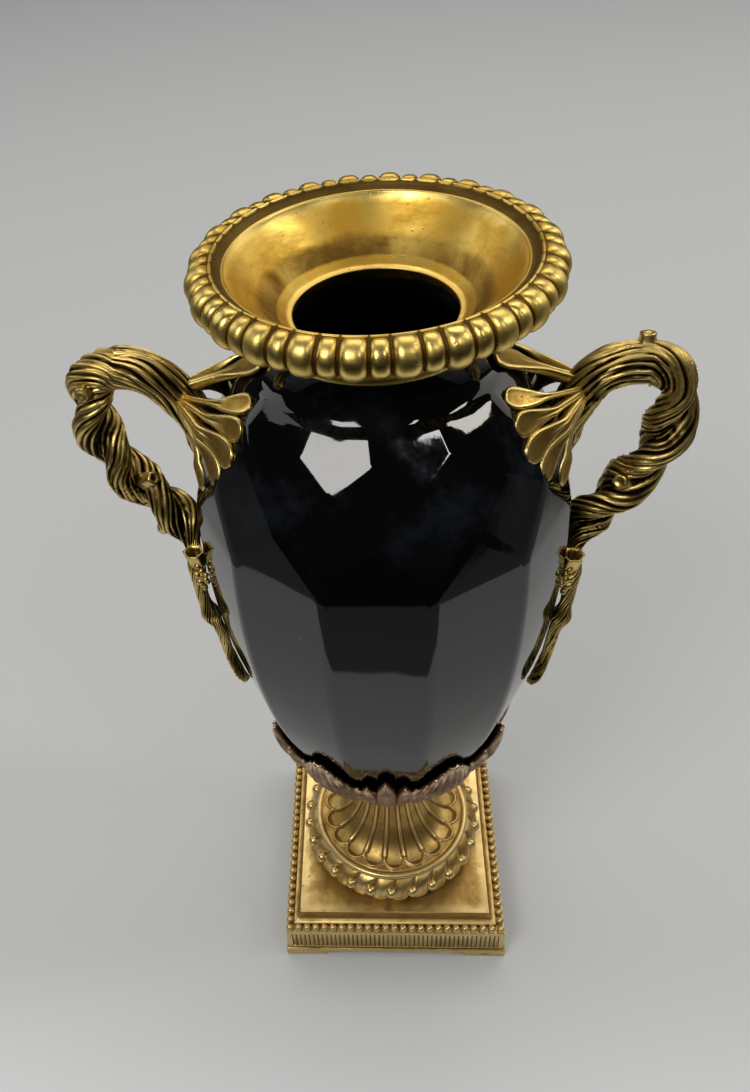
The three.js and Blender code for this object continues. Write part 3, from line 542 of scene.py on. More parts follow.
def buildFoot():
    s, base = footSizes, levels["footBase"]
    middle = base + s["torusHeight"] / 2
    gold = gilt["matt gilt bronze"]
    # ring of slanted lobes
    pitch = 360 / s["lobes"]
    u = np.linspace(0, 1, 25)[None, :]
    tilt = np.linspace(-84, 84, 30)[:, None]
    share = (tilt + 84) / 168
    slant = s["slant"] * (share - 0.5) + s["curl"] * smoothStep(0.6, 1.0, share)
    fade = np.cos(np.radians(tilt)) ** 0.4
    groove = np.abs(2 * u - 1) ** 2.8 * fade
    line = np.exp(-((u - 0.1) / 0.035) ** 2) * fade  # a thin raised line beside each groove
    bulge = s["bulge"] - s["lobeDepth"] * groove + 1.0 * line
    radius = s["torusRadius"] + bulge * np.cos(np.radians(tilt))
    height = middle + s["torusHeight"] / 2 * np.sin(np.radians(tilt)) + 0 * u
    back = np.ones_like(u)
    radius = np.vstack([radius, back * 42, back * 42])
    height = np.vstack([height, back * (base + s["torusHeight"]), back * base])
    angle = np.vstack([u * pitch + slant - 90, u * pitch - 90 + slant[-1], u * pitch - 90 + slant[0]])
    lobes = makePiece("foot_lobes", *sectorPart(angle, radius, height))
    repeat(lobes, copiesRound, {"Count": s["lobes"], "Material": gold})
    finishPiece(lobes, gold, "foot", 1.4)
    # pearls between the lobes
    a = math.radians(s["pearlTilt"])
    r = s["torusRadius"] + s["bulge"] * math.cos(a) - s["lobeDepth"] * 0.3
    turn = -90 + float(np.interp(s["pearlTilt"], tilt[:, 0], slant[:, 0]))
    spot = (r * math.cos(math.radians(turn)), r * math.sin(math.radians(turn)),
            middle + s["torusHeight"] / 2 * math.sin(a))
    pearls = makePiece("foot_pearls", *ballPart(spot, s["pearl"] / 2, 12, 8))
    repeat(pearls, copiesRound, {"Count": s["lobes"], "Material": gold})
    finishPiece(pearls, gold, "foot", 1.0)
    # ridge, flutes and knop
    shelf = base + s["torusHeight"] + 0.5
    knopBase = base + s["height"] - s["knopHeight"] - 3
    pitch = 360 / s["flutes"]
    u = np.linspace(0, 1, 41)
    rows = [(r, shelf + z, 0.0) for r, z in ((53.6, -1.4), (53.7, 0.4), (53.0, 1.6), (51.8, 2.1), (50.4, 1.8),
                                             (49.8, 0.8), (49.2, 0.1), (48.6, 0.0), (48.0, 0.4))]
    reliefs = [np.zeros_like(u)] * len(rows)
    t = np.linspace(0, 1, 74) ** 1.5
    sweep = np.radians(90 * t ** 0.85)
    crest = s["fluteEnd"] - (s["fluteEnd"] - s["waist"]) * np.sin(sweep) ** 0.9
    rise = blend(shelf + 1, knopBase, 1 - np.cos(sweep) ** 0.75)
    along = np.concatenate([[0], np.cumsum(np.hypot(np.diff(crest), np.diff(rise)))])
    endRadius = s["fluteShare"] * math.radians(pitch) * s["fluteEnd"]
    for k in range(len(t)):
        # distance in mm from the outline of a tongue with a round end
        x = (u - 0.5) * math.radians(pitch) * crest[k]
        fromMiddle = along[k] - endRadius - 1.0
        outside = np.abs(x) - s["fluteShare"] * math.radians(pitch) * crest[k]
        if fromMiddle < 0:
            outside = np.hypot(x, fromMiddle) - endRadius
        scale = 0.45 + 0.55 * crest[k] / s["fluteEnd"]
        inside = smoothStep(0, 1.5, -outside / scale) * (1 - 0.35 * t[k])
        border = np.exp(-((outside / scale - 0.55) / 0.42) ** 2)
        gapSink = smoothStep(1.0, 1.7, outside / scale)
        rows.append((crest[k], rise[k], math.cos(sweep[k])))
        reliefs.append(-s["fluteDepth"] * inside + s["fluteBorder"] * scale * border - 0.5 * gapSink)
    for r, z in ((18.9, 0.4), (20.6, 1.2), (22.3, 2.6), (23.0, 4.6), (22.6, 6.6), (21.0, 8.2), (19.2, 9.0),
                 (18.9, 10.2), (19.6, 10.9), (19.7, 12)):
        rows.append((r, knopBase + z, 0.0))
        reliefs.append(np.zeros_like(u))
    for r, z in ((8, base + s["height"]), (8, shelf - 1.4)):
        rows.append((r, z, 0.0))
        reliefs.append(np.zeros_like(u))
    level = np.array([row[2] for row in rows])[:, None]
    relief = np.array(reliefs)
    radius = np.array([row[0] for row in rows])[:, None] + relief * (1 - level)
    height = np.array([row[1] for row in rows])[:, None] + relief * level
    angle = (-90 + s["flutePhase"] + pitch / 2 + u * pitch)[None, :]
    flutes = makePiece("foot_flutes", *sectorPart(angle, radius, height))
    repeat(flutes, copiesRound, {"Count": s["flutes"], "Material": gold})
    finishPiece(flutes, gold, "foot", 1.4)


buildFoot()


calyxSizes = {"floor": 7.5, "wall": 2.2, "slack": 0.7, "radius": 78, "semiAxis": 106, "widest": 98,
              "ribbedLeaf": 71.5, "palmette": 68.5, "sideLeaf": 59, "notch": 52, "valley": 41, "curl": 1.2,
              "bulge": 4.6}


def calyxEdge(angle):  # height of the leaves' outline, over a slice of 60 degrees from one ribbed leaf to the next
    s = calyxSizes
    fromRibbed = np.minimum(np.mod(angle, 60), 60 - np.mod(angle, 60))
    fromPalmette = 30 - fromRibbed
    teeth = 2.4 * np.abs(np.sin(np.radians(fromRibbed * 360 / 7)))
    ribbed = blend(s["ribbedLeaf"], s["valley"], np.clip(fromRibbed / 15, 0, 1) ** 1.5) + teeth * (fromRibbed > 1.2)
    centre = s["notch"] + (s["palmette"] - s["notch"]) * np.clip(1 - fromPalmette / 4.2, 0, 1) ** 0.7
    side = s["valley"] + (s["sideLeaf"] - s["valley"]) * np.clip(1 - np.abs(fromPalmette - 8.6) / 4.4, 0, 1) ** 0.7
    low = s["valley"] + 9 * np.sqrt(np.clip(1 - ((fromPalmette - 14.2) / 2.6) ** 2, 0, 1))
    return np.maximum.reduce([ribbed, np.where(fromPalmette < 4.2, centre, 0), np.where(fromPalmette < 13, side, low),
                              np.full_like(angle, s["valley"])])


def buildCalyx():
    s, base = calyxSizes, levels["calyxBase"]
    angle = np.linspace(0, 60, 121)
    rim = calyxEdge(angle)
    fromRibbed = np.minimum(angle, 60 - angle)
    fromPalmette = 30 - fromRibbed

    def outer(rise):
        cup = s["radius"] * np.sqrt(np.maximum(1 - ((s["widest"] - rise) / s["semiAxis"]) ** 2, 0))
        porcelain = flatSideRadius(edgeRadius(np.maximum(base + rise, levels["bodyBase"])), angle) + s["slack"]
        return np.maximum(cup, porcelain + s["wall"])

    rows = [(np.full_like(angle, 20.0), np.zeros_like(angle)), (outer(2.0 + 0 * angle), np.full_like(angle, 2.0))]
    first = s["floor"] + 4
    tipShare = np.clip((rim - s["valley"]) / (s["palmette"] - s["valley"]), 0, 1)

    def belly(t):  # the cup swells below and stands upright at the leaves' tips, which turn out a little
        return s["bulge"] * math.sin(math.pi * t ** 0.8) + s["curl"] * t ** 6 * tipShare

    def leafRelief(t):
        # ribs spread from the stalk of each leaf and fade at its tip
        fan = np.abs(np.sin(np.radians(fromRibbed / (0.35 + 0.65 * (1 - t)) * 24))) ** 0.7
        veins = 1.7 * fan * np.where(fromRibbed < 15, 1, 0) * smoothStep(0, 0.15, t) * (1 - 0.4 * t)
        midrib = 1.0 * np.exp(-(fromRibbed / 1.0) ** 2) * (1 - t * 0.5)
        petal = 1.8 * np.sqrt(np.clip(1 - (fromPalmette / (1.5 + 3.2 * t)) ** 2, 0, 1)) * smoothStep(0.1, 0.4, t)
        sides = 1.5 * np.sqrt(np.clip(1 - ((fromPalmette - 2 - 6.6 * t) / (1.3 + 2.8 * t)) ** 2, 0, 1))
        relief = np.where(fromRibbed < 15, veins + midrib, np.maximum(petal, sides * smoothStep(0.05, 0.3, t)))
        fine = 0.35 * np.abs(np.sin(np.radians(fromPalmette / (0.4 + 0.6 * t) * 70)))
        return relief + fine * np.where(fromRibbed < 15, 0, 1) * smoothStep(0.2, 0.5, t)

    for t in np.concatenate([np.linspace(0, 0.7, 16), np.linspace(0.73, 1, 14)]):
        rise = blend(first, rim, t)
        rows.append((outer(rise) - 0.4 + leafRelief(t) * (0.35 + 0.65 * smoothStep(1, 0.95, t)) + belly(t), rise))
    for t in np.linspace(1, 0, 10):
        rise = blend(first, rim, t)
        rows.append((outer(rise) - s["wall"] + belly(t), rise))
    rows.append((np.full_like(angle, 30.0), np.full_like(angle, s["floor"])))
    rows.append((np.full_like(angle, 12.0), np.full_like(angle, s["floor"])))
    rows.append((np.full_like(angle, 12.0), np.zeros_like(angle)))
    radius, height = np.array([r for r, z in rows]), np.array([z for r, z in rows]) + base
    piece = makePiece("calyx_of_leaves", *sectorPart(angle[None, :], radius, height))
    brown = gilt["brown bronze"]
    repeat(piece, copiesRound, {"Count": 6, "Material": brown})
    finishPiece(piece, brown, "calyx", 1.4)


buildCalyx()
print("body, rim, foot and calyx made")


plinthSizes = {"half": 75, "proud": 1.3, "footHeight": 4.2, "footLength": 28, "band": 8.7, "ledge": 31.7,
               "top": 41.4, "border": 3.6, "sink": 1.4, "bead": 5.4, "beadsPerSide": 24, "cavettoRun": 6.5,
               "fillet": 1.6, "reeds": 47}


def boxPart(x0, x1, y0, y1, z0, z1):
    points = [(x, y, z) for z in (z0, z1) for x, y in ((x0, y0), (x1, y0), (x1, y1), (x0, y1))]
    return points, closedFaces(2, 4)


def buildPlinth():
    s = plinthSizes
    gold = gilt["matt gilt bronze"]
    half, ledge, bead = s["half"], s["ledge"], s["bead"]
    topHalf = half - bead - s["cavettoRun"] * 0.75
    profile = [(0.001, s["footHeight"] + 0.6), (half + s["proud"] - 4, s["footHeight"] + 0.6),
               (half + s["proud"] - 4, s["footHeight"]), (half + s["proud"], s["footHeight"]),
               (half + s["proud"], s["band"] - 0.8), (half, s["band"]), (half, s["band"] + 1.4),
               (half - s["sink"], s["band"] + 1.4), (half - s["sink"], ledge - s["border"]),
               (half, ledge - s["border"]), (half, ledge), (half - bead, ledge), (half - bead, ledge + 2.1)]
    for a in np.radians(np.linspace(10, 90, 9)):
        profile.append((half - bead - (half - bead - topHalf) * math.sin(a), ledge + 2.7 + 5.2 * (1 - math.cos(a))))
    profile += [(topHalf, s["top"]), (topHalf - s["fillet"], s["top"])]
    # the top is divided, so that its slight dents from handling can show
    profile += [(topHalf - s["fillet"] - d, s["top"] - 0.1) for d in (1.5, 5, 12, 24, 36, 48, 58)]
    share = np.concatenate([[-1, -0.99, -0.97, -0.94], np.linspace(-0.9, 0.9, 25), [0.94, 0.97, 0.99]])
    side = np.column_stack([share, -np.ones_like(share)])
    square = np.vstack([side, side[:, ::-1] * [-1, 1], -side, side[:, ::-1] * [1, -1]])
    points = [(x * h, y * h, z) for h, z in profile for x, y in square]
    parts = [(points, closedFaces(len(profile), len(square)))]
    # bars of one corner: from and to in x, in y and in height
    outer, inner = half + s["proud"], half + s["proud"] - s["footLength"]
    foot, post = (inner, outer), (half - s["border"], half)
    bars = [(foot, foot, (0, s["footHeight"])), (post, post, (s["band"] + 1.2, ledge - s["border"] + 0.3))]
    for length, height in ((7, 3.0), (14, 1.7)):  # the low arch between the feet rises in small steps
        along, across = (inner - length, inner), (outer - 3, outer)
        levelsHere = (s["footHeight"] - 1.1 * height / 3, s["footHeight"] + 0.3)
        bars += [(along, across, levelsHere), (across, along, levelsHere)]
    for sx in (-1, 1):
        for sy in (-1, 1):
            parts += [boxPart(*sorted((sx * x[0], sx * x[1])), *sorted((sy * y[0], sy * y[1])), *z)
                      for x, y, z in bars]
    piece = makePiece("plinth_block", *joinParts(parts), turn=0)
    facePointsOut(piece.data)
    piece.data.shade_flat()
    rounding = piece.modifiers.new("edges", "BEVEL")
    rounding.width, rounding.segments, rounding.limit_method = 0.45 * mm, 3, "ANGLE"
    rounding.angle_limit = math.radians(28)
    rounding.harden_normals = False
    bakeModifiers(piece)
    piece.data.shade_smooth()
    even = piece.modifiers.new("even", "WEIGHTED_NORMAL")
    even.weight = 90
    bakeModifiers(piece)

    def paintedSideShade(radius, z, angle):  # painted shade: the sides below the ledge are darker than the top
        return 0.16 * smoothStep(ledge + 1, ledge - 2, z)

    settle(piece, gold, "plinth", 1.2, paintedSideShade)
    # upright reeds in the sunk panel of each side
    span = 2 * (half - s["border"])
    step = span / s["reeds"]
    phi = np.linspace(0, math.pi, 7)
    sectionX, sectionY = -np.cos(phi) * step * 0.47, -np.sin(phi) * s["sink"] * 0.95
    z0, z1 = s["band"] + 1.2, ledge - s["border"]
    reedRows = [(z0, 1.0), (z1 - 2.6, 1.0), (z1 - 1.1, 0.85), (z1 - 0.3, 0.4)]
    points = [(x * (0.5 + 0.5 * w), y * w, z) for z, w in reedRows for x, y in zip(sectionX, sectionY)]
    first = np.array([-span / 2 + step / 2, -(half - s["sink"]) + 0.02, 0])
    reeds = makePiece("plinth_reeds", np.array(points) + first, closedFaces(len(reedRows), len(phi)), turn=0)
    repeat(reeds, copiesAlong, {"Count": s["reeds"], "Step": (step * mm, 0, 0), "Material": gold})
    repeat(reeds, copiesRound, {"Count": 4, "Material": gold})
    finishPiece(reeds, gold, "plinth", 1.2, paintedSideShade)
    # beads on the ledge
    line = half - bead / 2
    beads = makePiece("plinth_beads", *ballPart((-line, -line, ledge + 1.9), bead / 2 - 0.05, 12, 8), turn=0)
    repeat(beads, copiesAlong, {"Count": s["beadsPerSide"], "Step": (2 * line / s["beadsPerSide"] * mm, 0, 0),
                                "Material": gold})
    repeat(beads, copiesRound, {"Count": 4, "Material": gold})
    finishPiece(beads, gold, "plinth", 1.0)


buildPlinth()


handleLine = [  # distance from the axis, sideways, height above the underside of the body
    (87, 0, 229), (85, 0, 246), (88.5, 0, 260), (97, 0, 274), (105, 0, 279.5), (113.5, 0, 281.5), (124, 0, 280.5),
    (131.8, 0, 272.5), (134.5, 0, 258), (133.5, 0, 245), (130, 0, 234.5), (126, 0, 223.5), (119.5, 0, 213.5),
    (112, 0, 203), (103.5, 1, 191.5), (98.6, 7, 182), (96.4, 15.5, 174), (96.2, 17.5, 163), (95.6, 19, 151),
    (93.3, 20, 139), (90, 21, 127), (88, 21, 109), (84.6, 21, 93), (81.4, 21, 84)]
handleSizes = {
    "steps": 440, "sides": 104, "trunk": 7.4, "stem": 9.3, "vine": 9.7, "vineOffset": 5.1, "vineEach": 7.0,
    "vinesStart": 0.24, "vinesEnd": 0.58, "turns": 1.5, "branch": 5.6, "branchTip": 2.4, "bark": 0.95,
    "right": {"side": 1, "reach": -2.2, "lift": -2.2, "phase": -26, "twigs": ((0.235, 165, 3.5), (0.5, 315, 1.5))},
    "left": {"side": -1, "reach": 2.2, "lift": 2, "phase": -89,
             "twigs": ((0.3, 100, 1.5), (0.51, 25, 4), (0.61, 190, 6))},
    "cupAt": 0.687, "berries": 15, "sprayRoot": 0.14,  # places along the handle run from 0 to 1
    "stemDarkening": (425, 400), "branchDarkening": (365, 340),  # heights between which the wood grows darker towards the bottom
    "lobeWidth": 11.2, "lobeThickness": 2.8,
    # each lobe of the spray: degrees from the handle's plane, height of its tip over the panels, width, lift
    "lobes": ((0, 68, 1.6, 2.2), (25, 58, 0.9, 0), (31, 48, 1.0, 0), (32.5, 36, 1.05, 0), (29, 24, 1.0, 0),
              (20, 13, 0.9, 0))}


def smoothLine(points, count):
    p = np.asarray(points, float)
    p = np.vstack([2 * p[0] - p[1], p, 2 * p[-1] - p[-2]])
    fine, s = [], np.linspace(0, 1, 30, endpoint=False)[:, None]
    for a, b, c, d in zip(p, p[1:], p[2:], p[3:]):
        g0, g1, g2 = (max(np.linalg.norm(y - x), 1e-6) ** 0.5 for x, y in ((a, b), (b, c), (c, d)))
        enter = ((b - a) / g0 - (c - a) / (g0 + g1) + (c - b) / g1) * g1
        leave = ((c - b) / g1 - (d - b) / (g1 + g2) + (d - c) / g2) * g1
        fine.append((2 * s ** 3 - 3 * s ** 2 + 1) * b + (s ** 3 - 2 * s ** 2 + s) * enter
                    + (3 * s ** 2 - 2 * s ** 3) * c + (s ** 3 - s ** 2) * leave)
    fine = np.vstack(fine + [p[-2][None]])
    length = np.concatenate([[0], np.cumsum(np.linalg.norm(np.diff(fine, axis=0), axis=1))])
    at = np.linspace(0, length[-1], count)
    return np.column_stack([np.interp(at, length, fine[:, k]) for k in range(3)])


def unit(v):
    return v / np.maximum(np.linalg.norm(v, axis=-1, keepdims=True), 1e-9)


def tubePart(middles, across, along, offsetU, offsetV):
    points = (middles[:, None] + across[:, None] * offsetU[..., None] + along[:, None] * offsetV[..., None])
    return points.reshape(-1, 3), closedFaces(*offsetU.shape)


def woodPart(settings):
    s = handleSizes
    line = np.asarray(handleLine, float)
    share = smoothStep(88, 106, line[:, 0])
    line = np.column_stack([line[:, 0] + settings["reach"] * share, -line[:, 1] * settings["side"],
                            levels["bodyBase"] + line[:, 2] + settings["lift"] * share])
    middle = smoothLine(line, s["steps"])
    tangent = unit(np.gradient(middle, axis=0))
    across = unit(np.cross([0, 1, 0], tangent))
    along = np.cross(tangent, across)
    t = np.linspace(0, 1, s["steps"])[:, None]
    phi = np.linspace(0, 2 * math.pi, s["sides"], endpoint=False)[None, :]
    start, end = s["vinesStart"], s["vinesEnd"]
    stem, vines, branch = smoothStep(0.02, 0.16, t), smoothStep(start, start + 0.1, t), smoothStep(end, end + 0.09, t)
    wood = blend(blend(s["trunk"] * (0.4 + 0.6 * smoothStep(0, 0.05, t)), s["stem"], stem), s["vine"], vines)
    thin = blend(s["branch"], s["branchTip"], t)
    thin = thin + 2.3 * np.exp(-((t - 0.808) / 0.017) ** 2) + 1.2 * np.exp(-((t - 0.70) / 0.03) ** 2)
    plain = blend(wood, thin, branch)
    sweep = 2 * math.pi * s["turns"] * (t - start) / (end - start)
    turn = math.radians(settings["phase"]) + np.where(t < start, sweep * 0.15, sweep)
    a = phi - turn
    c, each = s["vineOffset"], s["vineEach"]
    pair = c * np.abs(np.cos(a)) + np.sqrt(np.maximum(each ** 2 - (c * np.sin(a)) ** 2, 1))
    radius = blend(plain, pair, vines * (1 - branch))
    # bark: strands of three widths that run with the twist and wander a little
    wander = 0.2 * np.sin(8 * t + phi) + 0.13 * np.sin(23 * t - phi) + 0.05 * np.sin(57 * t + 2 * phi)
    strand = a + wander
    swell = 0.75 + 0.25 * np.sin(40 * t + 3 * phi)
    bark = 0.9 * swell * np.abs(np.sin(4.5 * strand)) ** 0.7
    bark = bark + 1.2 * np.abs(np.sin(8.5 * strand + 1 + 1.4 * wander)) ** 0.7
    bark = bark + 0.5 * np.abs(np.sin(15 * strand + 2 * np.sin(19 * t))) - 1.75
    deep = blend(blend(1.55, 1.3, vines), 0.6, branch) * smoothStep(0, 0.03, t)
    radius = radius + s["bark"] * bark * deep
    leafTip = smoothStep(0.9, 0.94, t) * smoothStep(1.0, 0.97, t)
    wide = 1 + 1.15 * leafTip * np.abs(np.sin(phi)) ** 2
    return (middle, across, along), tubePart(middle, across, along, radius * np.cos(phi), radius * np.sin(phi) * wide)


def twigPart(frameOf, at, degrees, length):
    middle, across, along = frameOf
    k = int(round(at * (len(middle) - 1)))
    a = math.radians(degrees)
    out = across[k] * math.cos(a) + along[k] * math.sin(a)
    side = unit(np.cross(out, [0.3, 0.5, 0.8]))
    other = np.cross(out, side)
    bark = 9.7  # where the twig leaves the bark; each row is a distance from the handle's middle and a radius
    rows = ((4, 4.6), (9, 3.9), (bark + length * 0.4, 3.3), (bark + length * 0.75, 3.5), (bark + length, 3.1),
            (bark - 0.3 + length, 2.0), (bark - 1 + length, 0.9))
    phi = np.linspace(0, 2 * math.pi, 16, endpoint=False)
    radius = np.array([r for _, r in rows])[:, None] * (1 + 0.08 * np.sin(5 * phi))[None, :]
    middles = middle[k] + out * np.array([d for d, _ in rows])[:, None]
    return tubePart(middles, np.tile(side, (len(rows), 1)), np.tile(other, (len(rows), 1)), radius * np.cos(phi),
                    radius * np.sin(phi))


def cupParts(frameOf, front):  # an open flower cup with berries under it
    middle, berries = frameOf[0], handleSizes["berries"]
    x, y, z = middle[int(handleSizes["cupAt"] * (len(middle) - 1))] + np.array([-2, 3.3 * front, 3.8])
    profile = ((-7, 1.8), (-5, 4.2), (-1.5, 5.4), (2, 4.7), (4.6, 4.6), (6.2, 5.2), (6.4, 4.4), (4.5, 3.3), (1, 2.2))
    phi = np.linspace(0, 2 * math.pi, 24, endpoint=False)
    petals = 1 + 0.09 * np.cos(6 * phi)
    radius = np.array([r for _, r in profile])[:, None] * petals
    middles = np.array([(x + 0.12 * h, y + 0.25 * front * h, z + h) for h, _ in profile])
    ones = np.ones((len(profile), 1))
    parts = [tubePart(middles, ones * [1, 0, 0], ones * [0, 1, 0], radius * np.cos(phi), radius * np.sin(phi))]
    seeded = np.random.default_rng(7)
    for i in range(berries):
        drop = 1.5 + 1.15 * i + seeded.uniform(-0.5, 0.5)
        spread = 3.6 * math.sin(math.pi * min(1, (i + 2) / berries))
        dx, dy = seeded.uniform(-1, 1) * spread, seeded.uniform(-0.2, 0.9) * spread
        parts.append(ballPart((x - 2.0 + dx, y + front * (3.6 + dy), z - drop), seeded.uniform(1.5, 2.0), 10, 7))
    return parts


def lobePart(root, turnTo, rise, width, lift, side):
    s = handleSizes
    t = np.linspace(0, 1, 34)
    standoff = root[0] - float(flatSideRadius(edgeRadius(root[2]), 0))

    def pointAt(t):
        angle = side * turnTo * np.clip(t, 0, 1) ** 0.85
        z = blend(root[2], levels["panelTop"] + rise, t)
        radius = flatSideRadius(edgeRadius(z), angle) + 0.9 + lift + standoff * np.clip(1 - t, 0, 1) ** 2.2
        return np.column_stack([radius * np.cos(np.radians(angle)), radius * np.sin(np.radians(angle)), z])

    middle = pointAt(t)
    tangent = unit(pointAt(t + 0.015) - pointAt(t - 0.015))
    outward = unit(np.column_stack([middle[:, 0], middle[:, 1], np.full(len(t), 40.0)]))
    across = unit(np.cross(outward, tangent))
    along = np.cross(tangent, across)
    spoon = 0.26 + 0.8 * smoothStep(0.32, 0.82, t)
    spoon = spoon * np.sqrt(np.clip(1 - (np.clip(t - 0.8, 0, 1) / 0.202) ** 2, 0, 1))
    half = (s["lobeWidth"] / 2 * width * spoon + 0.15)[:, None]
    thick = (s["lobeThickness"] * blend(1.7, 0.95, smoothStep(0, 0.6, t)))[:, None]
    u = np.linspace(-1, 1, 19)[None, :]
    dish = smoothStep(0.35, 0.7, t)[:, None]
    closing = smoothStep(1.0, 0.93, t)[:, None]
    top = (1 - np.abs(u) ** 7) * (0.85 - 0.5 * dish * (1 - u ** 4) * closing) * (0.35 + 0.65 * closing)
    top = top - 0.2 * np.exp(-(u / 0.12) ** 2) * (1 - dish)
    offsetU = np.hstack([half * u, half * u[:, ::-1][:, 1:-1]])
    offsetV = np.hstack([thick * top, np.full((len(t), u.shape[1] - 2), -0.8)])
    return tubePart(middle, across, along, offsetU, offsetV)


def buildHandle(name):
    s, settings = handleSizes, handleSizes[name]
    frameOf, wood = woodPart(settings)
    front = -settings["side"]
    parts = [wood] + [twigPart(frameOf, *twig) for twig in settings["twigs"]]
    root = frameOf[0][int(s["sprayRoot"] * (s["steps"] - 1))] - np.array([1.5, 0, 0])
    spray = []
    for turnTo, rise, width, lift in s["lobes"]:
        for side in ((1,) if turnTo == 0 else (-1, 1)):
            spray.append(lobePart(root, turnTo, rise, width, lift, side))
    half = 0 if settings["side"] > 0 else 180
    node = "handle_" + name
    antique, rubbed = gilt["antique gilt bronze"], gilt["rubbed gilt bronze"]

    def woodDarkerBelow(radius, z, angle):  # the wood is darker towards the bottom: the stem below one height, the branch again below a lower one
        return 0.035 * smoothStep(*s["stemDarkening"], z) + 0.035 * smoothStep(*s["branchDarkening"], z)

    for label, some, size, finish, dirtAndShade in (
            ("wood", parts, 2.2, antique, woodDarkerBelow), ("cup", cupParts(frameOf, front), 1.0, antique, None),
            ("spray", spray, 1.4, rubbed, None)):
        points, faces = joinParts(some)
        piece = makePiece(node + "_" + label, turned(points, half), faces)
        finishPiece(piece, finish, node, size, dirtAndShade)


buildHandle("right")
buildHandle("left")
print("plinth and handles made")


# matt backdrop paper, as in a photographer's studio: pale and without gloss, and darker towards the back by painted
# shade
stageLook = {"floor": "c9cacb", "floorMark": "c4c5c6", "floorShadedBehind": "a4a5a5", "floorSize": 14.0, "roomNear": "6a6a69",
             "roomFar": "080809", "surround": 0.02, "fill": 0.72, "paperEdge": -0.325, "paperSide": 0.6}


def buildStage():
    look = stageLook
    material, tree, place = newMaterial("matt paper backdrop")
    grain = addNode(tree, "ShaderNodeTexNoise", {"Scale": 3.0, "Detail": 3.0}, {"Vector": place}).outputs[0]
    spot = addNode(tree, "ShaderNodeSeparateXYZ", links={"Vector": place}).outputs
    sideways = addNode(tree, "ShaderNodeMath", {"operation": "ABSOLUTE"}, {0: spot["X"]}).outputs[0]
    effects = {}
    # in reflections the paper ends in front of the vase and beside it, and the dim room begins
    for label, pattern, start, end in (
            ("marks", grain, 0.3, 0.7), ("shadedBehind", spot["Y"], -0.32, -0.05), ("room", spot["Y"], -0.54, -0.58),
            ("front", spot["Y"], look["paperEdge"], look["paperEdge"] - 0.01),
            ("sides", sideways, look["paperSide"], look["paperSide"] + 0.1)):
        effects[label] = addNode(tree, "ShaderNodeMapRange", {
            "interpolation_type": "SMOOTHSTEP", "From Min": start, "From Max": end}, {"Value": pattern}).outputs[0]
    beyond = addNode(tree, "ShaderNodeMath", {"operation": "MAXIMUM"},
                     {0: effects["front"], 1: effects["sides"]}).outputs[0]
    glossy = addNode(tree, "ShaderNodeLightPath").outputs["Is Glossy Ray"]
    reflected = addNode(tree, "ShaderNodeMath", {"operation": "MULTIPLY"}, {0: beyond, 1: glossy}).outputs[0]
    paper = addNode(tree, "ShaderNodeMix", {"data_type": "RGBA", 6: linearColour(look["floor"]),
                                            7: linearColour(look["floorMark"])}, {0: effects["marks"]}).outputs[2]
    # painted shade: the paper turns darker from in front of the vase towards the back
    paper = addNode(tree, "ShaderNodeMix", {"data_type": "RGBA", 7: linearColour(look["floorShadedBehind"])},
                    {0: effects["shadedBehind"], 6: paper}).outputs[2]
    room = addNode(tree, "ShaderNodeMix", {"data_type": "RGBA", 6: linearColour(look["roomNear"]),
                                           7: linearColour(look["roomFar"])}, {0: effects["room"]}).outputs[2]
    colour = addNode(tree, "ShaderNodeMix", {"data_type": "RGBA"}, {0: reflected, 6: paper, 7: room}).outputs[2]
    shader = addNode(tree, "ShaderNodeBsdfPrincipled", {"Roughness": 0.85, "Specular IOR Level": 0.2},
                     {"Base Color": colour})
    addNode(tree, "ShaderNodeOutputMaterial", links={"Surface": shader.outputs[0]})
    h = look["floorSize"] / 2
    mesh = bpy.data.meshes.new("floor")
    mesh.from_pydata([(-h, -h, 0), (h, -h, 0), (h, h, 0), (-h, h, 0)], [], [(0, 1, 2, 3)])
    mesh.materials.append(material)
    floor = bpy.data.objects.new("floor", mesh)
    bpy.context.collection.objects.link(floor)
    # the room is dim in the reflections and gives even light to the floor
    world = bpy.data.worlds.new("room")
    bpy.context.scene.world = world
    world.use_nodes = True
    tree = world.node_tree
    tree.nodes.clear()
    rays = addNode(tree, "ShaderNodeLightPath").outputs
    lit = addNode(tree, "ShaderNodeMath", {"operation": "MAXIMUM"},
                  {0: rays["Is Diffuse Ray"], 1: rays["Is Camera Ray"]}).outputs[0]
    strength = addNode(tree, "ShaderNodeMapRange", {
        "interpolation_type": "SMOOTHSTEP", "To Min": look["surround"], "To Max": look["fill"]},
        {"Value": lit}).outputs[0]
    sky = addNode(tree, "ShaderNodeBackground", {"Color": linearColour("f4f5f7")}, {"Strength": strength})
    addNode(tree, "ShaderNodeOutputWorld", links={"Surface": sky.outputs[0]})


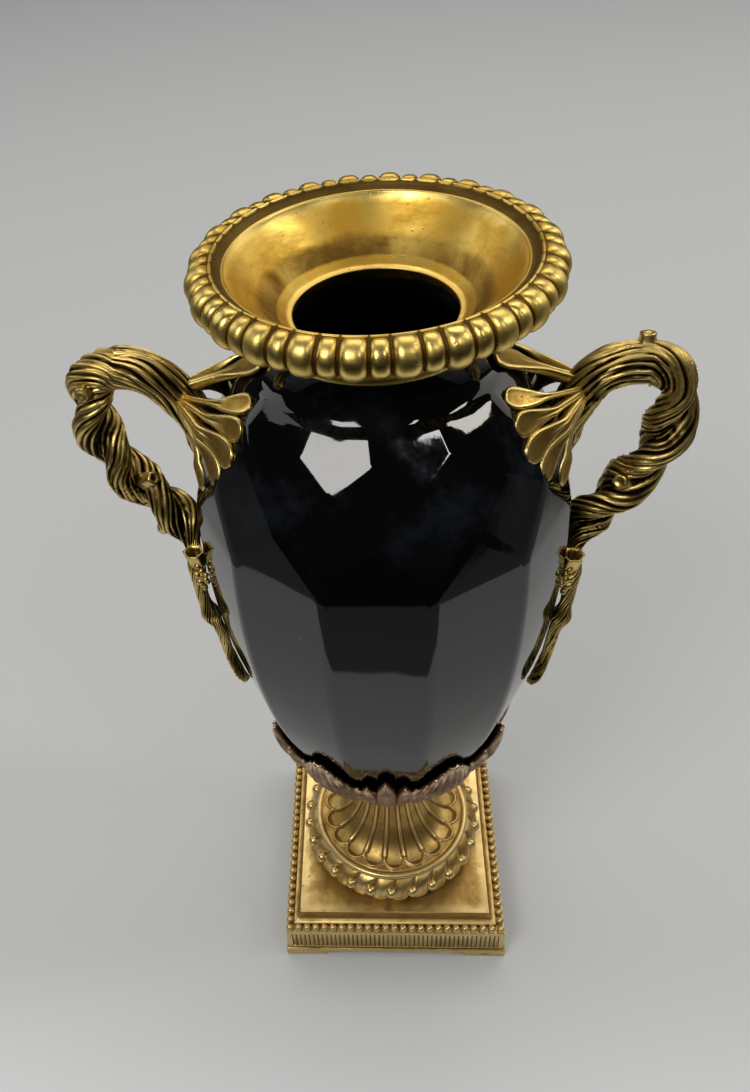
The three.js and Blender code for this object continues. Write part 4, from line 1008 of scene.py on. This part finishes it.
lightTarget = (0, 0, 0.4)
lamps = {  # direction from the target, distance, width and height, watts, colour
    "key softbox": ((-0.405, -0.552, 0.729), 1.7, (0.58, 0.5), 12, "fffdf8"),
    "window strip": ((0.42, -0.50, 0.76), 1.8, (0.13, 0.4), 2.6, "ffffff"),
    "overhead": ((0.05, 0.62, 0.92), 2.6, (2.4, 1.6), 26, "fff8ec"),
    "left wall": ((-0.8, 0.4, 0.5), 2.4, (1.4, 1.4), 8, "ffffff"),
    "right wall": ((0.75, 0.5, 0.36), 2.4, (1.4, 1.4), 8, "fffaf0"),
    "side window": ((0.72, 0.02, 0.69), 2.2, (0.22, 0.8), 7.5, "fffaf0")}


def areaLight(name, toward, distance, size, power, colour):
    lamp = bpy.data.lights.new(name, "AREA")
    lamp.shape, lamp.size, lamp.size_y, lamp.energy = "RECTANGLE", size[0], size[1], power
    lamp.color = linearColour(colour)[:3]
    light = bpy.data.objects.new(name, lamp)
    bpy.context.collection.objects.link(light)
    away = unit(np.array(toward, float))
    place = np.array(lightTarget) + away * distance
    side = unit(np.cross([0, 0, 1], away))
    up = np.cross(away, side)
    light.matrix_world = Matrix([[side[i], up[i], away[i], place[i]] for i in range(3)] + [[0, 0, 0, 1]])


buildStage()
for name, settings in lamps.items():
    areaLight(name, *settings)

# the directions of the picture's right, up and back, and the place of the lens
cameraView = {"right": (0.99559, 0.04670, -0.08134), "up": (0.02562, 0.69883, 0.71483),
              "back": (0.09022, -0.71376, 0.69455), "spot": (0.00305, -0.36467, 0.67364),
              "lens": 31.32, "shift": (0.0658, 0.0128)}
cameraData = bpy.data.cameras.new("camera")
camera = bpy.data.objects.new("camera", cameraData)
bpy.context.collection.objects.link(camera)
camera.matrix_world = Matrix([[cameraView[part][i] for part in ("right", "up", "back", "spot")] for i in range(3)]
                             + [[0, 0, 0, 1]])
cameraData.lens, (cameraData.shift_x, cameraData.shift_y) = cameraView["lens"], cameraView["shift"]
cameraData.clip_start = 0.02
bpy.context.scene.camera = camera
bpy.context.scene.view_settings.view_transform = "Standard"


print("stage, lights and camera set")
